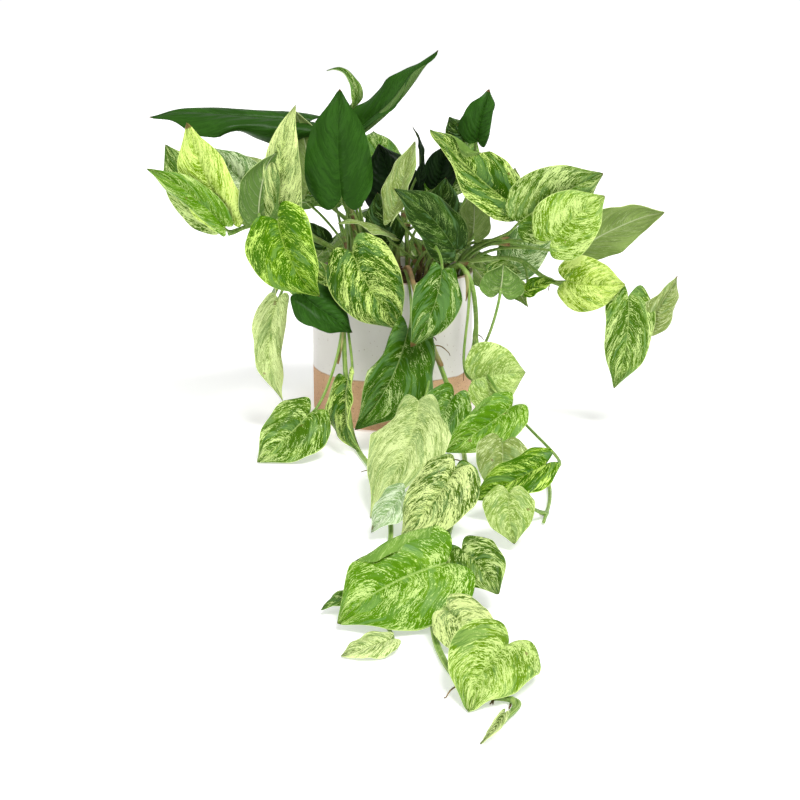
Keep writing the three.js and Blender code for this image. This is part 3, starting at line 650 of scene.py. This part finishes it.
def blade(leaf, order, lobe_share=1, rolls=()):
    """A leaf's way from u across and t along it to its place; then its own two directions."""
    _, _, base, tip, face, wide, fold, curl, twist_degrees, bend = leaf
    along = tip - base
    length = along.length
    along.normalize()
    out = Vector(face)
    out = (out - along * out.dot(along)).normalized()
    across = out.cross(along)
    curl = math.radians(curl)
    arc = length * (curl / 2) / math.sin(curl / 2)

    chance = random.Random(100 * length * 1000 + order)
    uneven = chance.uniform(-0.06, 0.06)
    hook = chance.uniform(0.02, 0.09)
    arch = chance.uniform(0.28, 0.46)

    def place(u, t):
        u *= 0.5 + 0.5 * abs(u)
        side = abs(u)
        t += FOOT_CORNER * (1 - t) ** 3 * side ** 5
        spread = heart(min(1, t))
        drawn = spread * (1 - TIP_THIN * step(TIP_FROM, 1, t)) * (1 + math.copysign(uneven, u))
        lobe = LOBE * lobe_share * (1 - t) ** 3 * math.sin(0.85 * math.pi * side) ** 0.8
        edge = wide * length * drawn / 2
        reach, over = edge * side, 0
        for roll in rolls:
            if roll[0] * u > 0:
                reach, over = rolled(edge, reach, t, roll)
        hinge = math.radians(fold[0 if u < 0 else 1])
        soft = MIDRIB_ROUND * length
        phase = 13 * t + 1.7 * order + (0 if u < 0 else 2)
        ripple = WAVE * length * spread * side ** 3 * math.sin(phase)
        crinkle = CRINKLE * length * spread * side ** 4 * math.sin(2.6 * phase + order)
        channel = CHANNEL_DEEP * math.exp(-((u / CHANNEL_HALF) ** 2)) * (1 - t)
        camber = arch * wide * length * spread * side * (0.72 - side)
        dip = hook * length * step(0.7, 1, t) ** 2
        lift = math.sin(hinge) * (math.hypot(reach, soft) - soft) + ripple + crinkle
        lift += camber - channel - dip + over
        slope = curl / 2 - curl * (t - lobe)
        run = arc / curl * (math.sin(curl / 2) - math.sin(slope))
        rise = arc / curl * (math.cos(slope) - math.cos(curl / 2))
        twist = math.radians(twist_degrees) * (min(1, t) - TWIST_FREE)
        flat = math.copysign(reach, u) * math.cos(hinge)
        aside = flat * math.cos(twist) - lift * math.sin(twist)
        raised = flat * math.sin(twist) + lift * math.cos(twist)
        point = base + along * (run - raised * math.sin(slope)) + out * (rise + raised * math.cos(slope))
        point += across * (aside + bend * length * 4 * t * (1 - t))
        if point.z < REST:
            point.z = REST + PRESSED * (point.z - REST)
        return point, Vector((u, t, 0))

    return place, along, out


# %% [markdown]
# A leaf's marbling follows its side veins: streaks leave the midrib and sweep forward, and in the
# lobes they fan out from the stalk. Grey-green sectors, a pale halo round the cream and a cream
# margin go with it, and old leaves have small scars and a dry tip. Each kind of leaf has a deep, a
# light and a cream colour and its own shares of them, typical of that kind; the near-black kind is
# painted shade, for leaves deep in the crown. They go onto the mesh as attributes, so one finish
# paints every leaf.

# %% Kinds of leaf: deep, light and cream colours; shares of light and of cream, how far in patches
KINDS = {
    "gold": ((112, 150, 10), (164, 196, 58), (220, 240, 138), (0.6, 0.5, 0.7)),
    "lime": ((66, 114, 0), (112, 154, 14), (206, 238, 114), (0.45, 0.3, 0.9)),
    "speckled": ((52, 90, 2), (90, 128, 20), (212, 234, 134), (0.4, 0.34, 1.0)),
    "marbled": ((66, 104, 10), (114, 148, 50), (208, 230, 146), (0.45, 0.34, 1.0)),
    "streaked": ((74, 106, 20), (138, 162, 80), (222, 238, 156), (0.5, 0.56, 1.0)),
    "green": ((64, 108, 6), (94, 136, 34), (196, 220, 142), (0.45, 0.27, 0.9)),
    "edged": ((54, 96, 4), (82, 124, 28), (200, 222, 146), (0.4, 0.18, 1.1)),
    "fresh": ((86, 136, 8), (120, 164, 44), (208, 234, 142), (0.5, 0.3, 0.8)),
    "sunny": ((104, 144, 20), (150, 186, 70), (216, 240, 146), (0.5, 0.42, 0.9)),
    "fine": ((136, 168, 70), (166, 194, 100), (214, 234, 152), (0.5, 0.4, 0.5)),
    "pale": ((134, 162, 78), (174, 196, 112), (226, 242, 168), (0.55, 0.54, 0.7)),
    "frosted": ((138, 172, 108), (182, 208, 150), (224, 240, 204), (0.5, 0.45, 0.6)),
    "silver": ((80, 118, 46), (124, 156, 84), (214, 230, 180), (0.5, 0.42, 0.9)),
    "olive": ((126, 148, 70), (156, 176, 98), (206, 220, 160), (0.5, 0.28, 0.5)),
    "dark": ((36, 62, 12), (58, 90, 24), (132, 160, 90), (0.35, 0.14, 0.9)),
    "solid": ((40, 78, 18), (50, 92, 26), (96, 130, 60), (0.45, 0.0, 0.0)),
    # The near-black kind is painted shade: leaves deep in the crown, coloured as dark as the shade they sit
    # in.
    "shaded_black": ((18, 36, 14), (28, 50, 20), (70, 96, 50), (0.4, 0.0, 0.0)),
}


def leaf_marks(leaf, seed, dry_tip):
    """What the finish reads on this leaf. Its size is in tenths of a metre, to keep the grain even."""
    deep, light, cream, share = KINDS[leaf[0]]
    chance = random.Random(seed)
    warm = chance.uniform(0.96, 1.04)
    length = (leaf[3] - leaf[2]).length
    marks = {"share": Vector((share[0], share[1] * chance.uniform(0.9, 1.1), share[2]))}
    dryness = 1.0 if dry_tip else 0.4 * chance.random()
    marks["size"] = Vector((length * 10, leaf[5] * length * 5, dryness))
    for layer, colour in (("deep", deep), ("light", light), ("cream", cream)):
        marks[layer] = Vector(tint(*(min(255, c * warm) for c in colour))[:3])
    return marks


# %% Leaf finish
SIDE_VEINS = 9


def attribute(tree, name):
    return node(tree, "ShaderNodeAttribute", dict(attribute_name=name))


def leaf_pattern(tree):
    """What both sides of a blade share: the place on it, its veins and its marbling."""
    spot, size, share = (parts(attribute(tree, name)("Vector")) for name in ("spot", "size", "share"))
    across, along, seed = spot("X"), spot("Y"), spot("Z")
    side = abs(across)
    half = smooth(across, -0.001, 0.001) * 4.7 + seed
    flat = vector(tree, across * 2, along * 3, seed)
    lean = along - (side ** 1.25) * 0.46 + grain(flat, 1.6, 2) * 0.09
    fan = lean.math("MINIMUM", 0) / side.math("MAXIMUM", 0.2) * 0.5
    vein = lean.math("MAXIMUM", 0) + fan
    up, out = vein * size("X"), side * size("Y")
    streak = grain(vector(tree, up * 105, out * 24, half), 1, 4, 0.62)
    fleck = grain(vector(tree, up * 230, out * 90, half), 1, 2, 0.6)
    broad = grain(vector(tree, up * 34, out * 5, half + 3), 1, 3, 0.6)
    sector = grain(vector(tree, vein * 6.5, side * 1.6, half * 1.3), 1, 2)
    patch = grain(vector(tree, vein * 4.5, side * 1.4, half * 1.7 + 5), 1, 2)
    value = streak * 1.3 + fleck + (sector * 1.1 + broad * 0.3) * share("Z") + (share("Y") - 0.5) * 0.6
    vary = smooth(share("Y"), 0.001, 0.05)
    rib = (vein * SIDE_VEINS).math("FRACT") - 0.5
    return dict(
        side=side, fleck=fleck, vary=vary, rib=rib,
        light=smooth(patch * 1.1 + broad * 0.6 + streak * 1.1 + (share("X") - 0.5) * 0.35, -0.07, 0.07),
        halo=smooth(value, -0.07, 0) * vary,
        cream=smooth(value, 0, 0.04) * vary,
        grey=smooth(sector * -1 + patch * 0.6 + broad * 0.5, 0.06, 0.14) * vary,
        edging=smooth(share("Y"), 0.03, 0.2),
        rib_line=smooth(abs(rib) * -1, -0.1, 0) * smooth(side * -1, -0.97, -0.6),
        midrib=smooth(side * -1, -0.036, -0.012),
        dry=smooth(along + fleck * 0.04 + size("Z") * 0.06, 0.995, 1.012),
        scar=smooth(grain(object_place(tree), 150, 0), 0.335, 0.35),
    )


def leaf_colours(tree):
    return (attribute(tree, name)("Color") for name in ("deep", "light", "cream"))


def leaf_upper(tree):
    p = leaf_pattern(tree)
    deep, light, cream = leaf_colours(tree)
    colour = mix(p["light"], deep, light)
    shade = smooth(p["fleck"], -0.2, 0.2)
    colour = mix(shade * 0.2, colour, mix(0.5, deep, (0, 0, 0, 1)))
    colour = mix(p["grey"] * 0.3, colour, tint(112, 152, 104))
    colour = mix(p["halo"] * 0.4, colour, light)
    colour = mix(p["cream"] * (0.86 + p["fleck"] * 0.9), colour, cream)
    colour = mix(p["rib_line"] * 0.1, colour, light)
    colour = mix(p["midrib"] * 0.6, colour, mix(p["vary"] * 0.5, light, cream))
    margin = smooth(p["side"], 0.965, 0.99) * p["edging"]
    colour = mix(margin * 0.7, colour, cream)
    colour = mix(p["dry"] * 0.9, colour, tint(122, 94, 56))
    colour = mix(p["scar"] * 0.6 * p["vary"], colour, tint(112, 88, 48))
    quilt = (p["rib"] * math.tau).math("COSINE") * 0.0003 * smooth(p["side"] * -1, -1, -0.4)
    pores = grain(object_place(tree), 700, 2) * 0.00008
    rough = 0.34 + p["fleck"] * 0.25 + p["cream"] * 0.06
    return {"Base Color": colour, "Roughness": rough, "Height": quilt + pores - p["midrib"] * 0.0001}


def leaf_under(tree):
    p = leaf_pattern(tree)
    deep, light, cream = leaf_colours(tree)
    colour = mix(p["light"] * 0.8, deep, light)
    colour = mix(p["cream"] * 0.55, colour, cream)
    colour = mix(0.4, colour, tint(126, 154, 90))
    colour = mix(p["rib_line"] * 0.18, colour, tint(190, 204, 160))
    colour = mix(p["midrib"] * 0.75, colour, tint(196, 208, 158))
    ribs = p["rib_line"] * 0.00035 + p["midrib"] * 0.0006
    pores = grain(object_place(tree), 900, 2) * 0.0001
    return {"Base Color": colour, "Roughness": 0.58 + p["fleck"] * 0.2, "Height": ribs + pores}


upper_finish = finish(
    "leaf_upper_finish", leaf_upper, Specular_IOR_Level=0.05, Coat_Weight=0.06, Coat_Roughness=0.2
)
under_finish = finish("leaf_under_finish", leaf_under, Specular_IOR_Level=0.04)

# %% [markdown]
# Stems run through their points on a smooth curve. Between two points that curve is one cubic
# span, with tangents that depend on the spacing of its neighbours, as in the solids. A stalk
# leaves the stem a little forward and comes up under its blade.

# %% Curves
def stem_spans(route):
    spans = []
    for i, (start, end) in enumerate(zip(route, route[1:])):
        before = route[i - 1] if i else start * 2 - end
        after = route[i + 2] if i + 2 < len(route) else end * 2 - start
        a, b, c = ((q - p).length ** 0.5 for p, q in ((before, start), (start, end), (end, after)))
        leave = ((start - before) / a - (end - before) / (a + b) + (end - start) / b) * b
        arrive = ((end - start) / b - (after - start) / (b + c) + (after - end) / c) * b
        spans.append((start, start + leave / 3, end - arrive / 3, end))
    return spans


def on_span(span, w):
    p, q, r, s = span
    v = 1 - w
    return p * v ** 3 + q * (3 * w * v * v) + r * (3 * w * w * v) + s * w ** 3


def on_stem(spans, t):
    place = t * len(spans)
    index = min(int(place), len(spans) - 1)
    point, ahead = (on_span(spans[index], place - index + step_on) for step_on in (0, 1e-3))
    return point, (ahead - point).normalized()


def points_on(span, count):
    return [on_span(span, i / count) for i in range(count + 1)]


UNDER_BLADE = 0.225 * MM  # the stalk's end is this far under the blade's middle


def stalk_span(leaf, order, spans):
    place, along, out = blade(leaf, order)
    root, tangent = on_stem(spans, leaf[1])
    end = place(0, STALK_END)[0] - out * UNDER_BLADE
    far = (end - root).length
    leave = (tangent + (end - root).normalized()).normalized()
    return root, root + leave * (0.35 * far), end - (along + out) * (0.2 * far), end


# %% Tubes: a grid rolled round a line of points
def carried_frames(points):
    """At each point a pair of directions across the line, turned as little as can be."""
    frames = []
    aside = None
    for i, point in enumerate(points):
        way = (points[min(i + 1, len(points) - 1)] - points[max(i - 1, 0)]).normalized()
        aside = way.orthogonal() if aside is None else aside - way * aside.dot(way)
        aside.normalize()
        frames.append((aside.copy(), way.cross(aside)))
    return frames


def tube(bm, points, radius_at, sides, seed, wood_at):
    """A tube whose wood_at says how brown it is along its way, from 0 to 1."""
    frames = carried_frames(points)
    rows = len(points) - 1

    def place(u, t):
        row = round(t * rows)
        turn = math.pi * u
        first, second = frames[row]
        out = first * math.cos(turn) + second * math.sin(turn)
        return points[row] + out * radius_at(row / rows), Vector((u, t, 0))

    wood, spot = bm.verts.layers.float["wood"], bm.verts.layers.float_vector["spot"]
    for vert in carried_grid(bm, sides, rows, place, seed):
        vert[wood] = wood_at(vert[spot].y)


# %% [markdown]
# A pothos stem is green with paler lines along it, brown at its joints and older near the soil.
# At a joint a stalk leaves, a dry brown sheath clasps the stalk's foot, and short brown aerial
# roots push out opposite. Long thin roots hang from some joints of the trailing vines.

# %% Stem, sheath and root finishes
def stem_paint(tree):
    spot = parts(attribute(tree, "spot")("Vector"))
    wood = attribute(tree, "wood")("Fac")
    place = object_place(tree)
    lines = grain(vector(tree, spot("X") * 7, spot("Y") * 2, spot("Z")), 1.6, 2)
    mottle = grain(place, 130, 3, 0.6)
    colour = mix(smooth(lines + mottle * 0.4, -0.12, 0.14), tint(104, 146, 52), tint(164, 192, 100))
    lenticel = smooth(grain(place, 520, 1), 0.15, 0.2)
    colour = mix(lenticel * 0.5, colour, tint(196, 206, 150))
    aged = smooth(wood + mottle * 0.5, 0.35, 0.75)
    bark = mix(smooth(mottle, -0.2, 0.2), tint(92, 70, 44), tint(150, 122, 80))
    colour = mix(aged, colour, bark)
    relief = lines * 0.0005 + mottle * (aged * 0.0006 + 0.0001)
    return {"Base Color": colour, "Roughness": 0.42 + aged * 0.4 + mottle * 0.2, "Height": relief}


def sheath_paint(tree):
    spot = parts(attribute(tree, "spot")("Vector"))
    fibres = grain(vector(tree, spot("X") * 9, spot("Y") * 1.2, spot("Z")), 1.5, 3, 0.6)
    tip = smooth(spot("Y") + fibres * 0.5, 0.4, 1.0)
    fresh = mix(smooth(fibres, -0.2, 0.2), tint(150, 158, 88), tint(196, 194, 130))
    colour = mix(tip, fresh, mix(smooth(fibres, -0.2, 0.2), tint(126, 88, 54), tint(190, 154, 106)))
    return {"Base Color": colour, "Roughness": 0.75 + fibres * 0.2, "Height": fibres * 0.0004}


stem_finish = finish("stem_finish", stem_paint, Specular_IOR_Level=0.4)
sheath_finish = finish("sheath_finish", sheath_paint, Specular_IOR_Level=0.3)


# %% Sheaths and roots, their radii in millimetres
SHEATH_WRAP, SHEATH_OPENS, SHEATH_RADIUS, SHEATH_FLARES = 2.4, 1.9, 2.2, 0.7
ROOT_STEP, ROOT_FALL, ROOT_WANDER, ROOT_LOW = 2.2 * MM, 0.22, 0.16, 1.0 * MM


def sheath(bm, points, seed, length_share, chance):
    """A dry leaf base, wrapped round the foot of a stalk."""
    last = max(3, round(len(points) * length_share))
    line = points[:last + 1]
    frames = carried_frames(line)
    open_side = chance.uniform(0, math.tau)

    def place(u, t):
        row = round(t * last)
        wrap = (SHEATH_WRAP - SHEATH_OPENS * t ** 1.5) * u + open_side
        first, second = frames[row]
        out = first * math.cos(wrap) + second * math.sin(wrap)
        radius = (SHEATH_RADIUS + SHEATH_FLARES * t + 0.25 * math.sin(9 * u + 5 * t)) * MM
        return line[row] + out * radius, Vector((u, t, 0))

    before = set(bm.faces)
    carried_grid(bm, 10, last, place, seed)
    made = [face for face in bm.faces if face not in before]
    for face in made:
        face.material_index = 1
    bmesh.ops.solidify(bm, geom=made, thickness=0.25 * MM)


def root_line(start, way, length, chance):
    """A thin root: out from the joint, then down with a wander, and along the surface."""
    points = [start.copy()]
    heading = way.normalized()
    step_length = max(ROOT_STEP, length / 14)
    wander = chance.uniform(-1, 1)
    for i in range(round(length / step_length)):
        turn = Vector((math.sin(1.3 * i + wander), math.cos(0.9 * i + 3 * wander), 0)) * ROOT_WANDER
        heading = (heading + Vector((0, 0, -ROOT_FALL)) + turn).normalized()
        ahead = points[-1] + heading * step_length
        ahead.z = max(ahead.z, ROOT_LOW)
        points.append(ahead)
    return points


# %% Joints: where a stem is thicker and browner
STEM_RADIUS, SWELL, SWELL_LONG, SCAR_LONG = 2.15, 0.5, 3.5 * MM, 2.5 * MM


def stem_profile(length, joints, trails, aged):
    def near_joints(t, reach):
        return sum(math.exp(-(((t - joint) * length / reach) ** 2)) for joint in joints)

    def radius_at(t):
        taper = 1 - (0.42 if trails else 0.12) * step(0.72, 1, t)
        return (STEM_RADIUS * taper + SWELL * near_joints(t, SWELL_LONG)) * MM

    def wood_at(t):
        return min(1, 0.4 * near_joints(t, SCAR_LONG) + 0.8 * (1 - step(0.6 * aged, aged, t)))

    return radius_at, wood_at


# %% [markdown]
# Every leafy stem becomes two pieces: its blades, with an upper and an under finish on the two
# sides of a thin sheet, and its wood, which is the stem, the stalks, the sheaths and the roots.
# Some leaves get a form of their own first: the share of the lobes' length that they keep, and
# their rolled edges. Others have a tip that has dried brown.

# %% Leaves with a form of their own: by stem and place in its list, lobe share and rolls
SHAPED = {
    ("main_vine", 0): (0.5, [(-1, 0.4, -0.3, 0.6, -1), (1, 0.6, -0.3, 0.5, -1)]),
    ("main_vine", 1): (0.2, [(-1, 0.35, -0.3, 0.5, -1), (1, 0.35, -0.3, 0.45, -1)]),
    ("main_vine", 5): (1, [(-1, 0.55, 0.0, 0.8, 1)]),
    ("centre_front", 3): (0.4, [(-1, 0.45, -0.3, 0.4, -1), (1, 0.5, -0.3, 0.35, -1)]),
    ("left_front", 3): (0.5, [(1, 0.45, -0.3, 1.3, -1)]),
    ("left_upper", 4): (0.6, [(1, 0.4, -0.3, 1.3, -1)]),
    ("centre_front", 0): (0.5, []),
    ("left_tall", 0): (0.6, [(1, 0.3, -0.3, 0.65, -0.3)]),
    ("left_tall", 3): (1, [(-1, 0.1, 0.0, 1.25, 1)]),
    ("right_upper", 2): (1, [(-1, 0.3, 0.5, 1.25, 1)]),
    ("right_upper", 0): (0.5, [(-1, 0.4, -0.3, 0.9, -1)]),
    ("right_mid", 0): (0.5, []),
    ("right_vine", 0): (1.8, []),
    ("right_vine", 2): (0.7, [(-1, 0.55, 0.1, 1.0, 1)]),
}
DRY_TIPS = [("centre_front", 3), ("right_upper", 0), ("left_upper", 2), ("right_arch", 3)]
print("leaves with a form of their own:", len(SHAPED), "with a dry tip:", len(DRY_TIPS))

# %% Blades of one stem
DARK_STEMS = ("left_tall", "centre_dark")
BLADE_THICK, BLADE_COLUMNS, BLADE_ROWS = 0.6 * MM, 36, 32


def stem_piece(bm, kind, name, materials):
    slot = "foliage_dark" if name in DARK_STEMS else "foliage_marbled"
    return mesh_object(bm, kind + "_" + name, materials, ["leafy_stem_" + name])


def make_blades(name, stem, number):
    bm = new_sheets()
    for order, leaf in enumerate(stem["leaves"]):
        place = blade(leaf, order, *SHAPED.get((name, order), ()))[0]
        seed = number * 3.1 + order * 1.37
        marks = leaf_marks(leaf, number * 50 + order, (name, order) in DRY_TIPS)
        carried_grid(bm, BLADE_COLUMNS, BLADE_ROWS, place, seed, marks)
    bmesh.ops.remove_doubles(bm, verts=bm.verts[:], dist=1e-6)
    bmesh.ops.reverse_faces(bm, faces=bm.faces[:])
    made = stem_piece(bm, "blades", name, [upper_finish, under_finish])
    shell = made.modifiers.new("thickness", "SOLIDIFY")
    shell.thickness = BLADE_THICK
    shell.offset = 0
    shell.material_offset = 1
    return made


# %% Words for the wood
AGED = {"main_vine": 0.28, "right_vine": 0.08}  # the share of these stems that is old and brown
TRAILING = ("left_vine", "main_vine", "right_vine", "right_arch")
SHOOTING = ("left_tall", "centre_dark", "centre_front", "right_upper", "right_mid", "right_arch")
STALK_LOW, CROWN_LOW, AIR_ROOTS_BELOW = 1.4 * MM, 150 * MM, 140 * MM
ROOT_REACHES = (7, 12, 20, 34)


def stalk_radius(t):
    foot, neck, end = 1 - step(0, 0.3, t), step(0.82, 0.92, t), step(0.93, 1, t)
    return (1.25 + 0.75 * foot + 0.3 * neck - 0.5 * end) * MM


def shoot(stalk, route, chance):
    """The line of a thin stem beside the main one, from the soil into the stalk that it feeds."""
    turn, apart = chance.uniform(0, math.tau), chance.uniform(7, 15) * MM
    start = route[0] + Vector((apart * math.cos(turn), apart * math.sin(turn), 0))
    start.z = SOIL_EDGE - 2 * MM
    join = round(0.5 * len(stalk))
    end, way = stalk[join], (stalk[join + 1] - stalk[join - 1]).normalized()
    rise = (end - start).length
    return points_on((start, start + Vector((0, 0, 0.45 * rise)), end - way * (0.3 * rise), end), 16)


def grow_shoots(bm, stalk, route, seed, chance):
    for _ in range(2):
        line = shoot(stalk, route, chance)
        old = chance.uniform(0.3, 0.9)
        tube(bm, line, lambda t: (1.7 - 0.5 * t) * MM, 9, seed, lambda t: old * (1 - step(0.1, 0.8, t)))


def grow_air_roots(bm, start, way, seed, chance):
    away = way.cross(Vector((chance.uniform(-1, 1), chance.uniform(-1, 1), 0.4)))
    for _ in range(chance.choice((1, 2))):
        reach = chance.choice(ROOT_REACHES) * MM
        root = root_line(start, away + Vector((0, 0, 0.2)), reach, chance)
        tube(bm, root, lambda t: (0.72 - 0.42 * t) * MM, 7, seed, lambda t: 1.0)


# %% Wood of one stem
def make_wood(name, stem, number):
    bm = new_sheets()
    chance = random.Random(number)
    spans = stem_spans(stem["route"])
    rows = 14 * len(spans)
    spine = [on_stem(spans, i / rows)[0] for i in range(rows + 1)]
    length = sum((b - a).length for a, b in zip(spine, spine[1:]))
    trails = name in TRAILING
    joints = [leaf[1] for leaf in stem["leaves"]]
    radius_at, wood_at = stem_profile(length, joints, trails, AGED.get(name, 0.07 / length))
    tube(bm, spine, radius_at, 12, number, wood_at)
    for order, leaf in enumerate(stem["leaves"]):
        stalk = points_on(stalk_span(leaf, order, spans), 22)
        for point in stalk:
            point.z = max(point.z, STALK_LOW)
        tube(bm, stalk, stalk_radius, 10, number + order * 0.7, lambda t: 0.5 * (1 - step(0, 0.05, t)))
        if chance.random() < 0.4:
            sheath(bm, stalk, number + order * 0.3, chance.uniform(0.2, 0.34), chance)
        if name in SHOOTING and stalk[len(stalk) // 2].z > CROWN_LOW:
            grow_shoots(bm, stalk, stem["route"], number + order, chance)
        start, way = on_stem(spans, leaf[1])
        if trails and start.z < AIR_ROOTS_BELOW:
            grow_air_roots(bm, start, way, order, chance)
    bmesh.ops.remove_doubles(bm, verts=bm.verts[:], dist=1e-6)
    bmesh.ops.holes_fill(bm, edges=open_edges(bm))
    bmesh.ops.recalc_face_normals(bm, faces=bm.faces[:])
    for vert in bm.verts:
        vert.co.z = max(vert.co.z, 0)
    return stem_piece(bm, "wood", name, [stem_finish, sheath_finish])


# %% Make them all
faces = 0
for number, (name, stem) in enumerate(STEMS.items()):
    made = [make_blades(name, stem, number), make_wood(name, stem, number)]
    faces += sum(len(piece.data.polygons) for piece in made)
print("plant pieces:", 2 * len(STEMS), "faces before thickness:", faces)

# %% [markdown]
# The picture stands on plain white under soft studio light: a bright surround, dimmer overhead, a
# wide soft sun from high at the front right, and a weak lamp at the left that opens the shadows.
# The white table glows faintly, so that the shadows on it stay as light as in the photograph.

# %% Floor
FLOOR_GLOW = 0.46


def floor_paint(tree):
    place = object_place(tree)
    cloud = grain(place, 3, 2)
    colour = mix(smooth(cloud, -0.3, 0.3), tint(240, 240, 240), tint(246, 246, 245))
    return {"Base Color": colour, "Roughness": 0.9 + cloud * 0.05, "Emission Color": colour}


bm = bmesh.new()
bmesh.ops.create_grid(bm, x_segments=1, y_segments=1, size=9)
bmesh.ops.translate(bm, verts=bm.verts[:], vec=(0, 0, -0.2 * MM))
floor_mesh = bpy.data.meshes.new("floor")
bm.to_mesh(floor_mesh)
bm.free()
floor_mesh.materials.append(finish("floor_finish", floor_paint, Emission_Strength=FLOOR_GLOW))
floor = bpy.data.objects.new("floor", floor_mesh)
bpy.context.scene.collection.objects.link(floor)
floor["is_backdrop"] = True


# %% Lights
AROUND, LOST_OVERHEAD = 1.04, 0.54


def lamp(name, kind, place, way, power, **settings):
    light = bpy.data.lights.new(name, kind)
    light.energy = power
    for setting, value in settings.items():
        setattr(light, setting, value)
    made = bpy.data.objects.new(name, light)
    made.location = place
    made.rotation_euler = Vector(way).to_track_quat("-Z", "Y").to_euler()
    bpy.context.scene.collection.objects.link(made)


lamp("key", "SUN", (0, 0, 0), (-0.3, 0.5, -1), 2.4, angle=math.radians(24))
lamp("fill", "AREA", (-1.5, -1.4, 0.9), (1.5, 1.3, -0.75), 5, size=1.2)
world = bpy.data.worlds.new("studio")
world.use_nodes = True
sky = world.node_tree
height = abs(parts(node(sky, "ShaderNodeTexCoord")("Generated"))("Z"))
sky.nodes["Background"].inputs["Color"].default_value = (1, 1, 1, 1)
bright = AROUND - smooth(height, 0.06, 0.3) * LOST_OVERHEAD
sky.links.new(bright.socket, sky.nodes["Background"].inputs["Strength"])
bpy.context.scene.world = world

# %% [markdown]
# The dressed plant has to keep the size of its solids, so both boxes are printed.

# %% Sizes
dressed_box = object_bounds()
boxes = {
    "solids": [list(map(float, p)) for p in solid_box],
    "dressed": [list(map(float, p)) for p in dressed_box],
}
print("solids ", [round(1000 * c) for p in boxes["solids"] for c in p])
print("dressed", [round(1000 * c) for p in boxes["dressed"] for c in p])
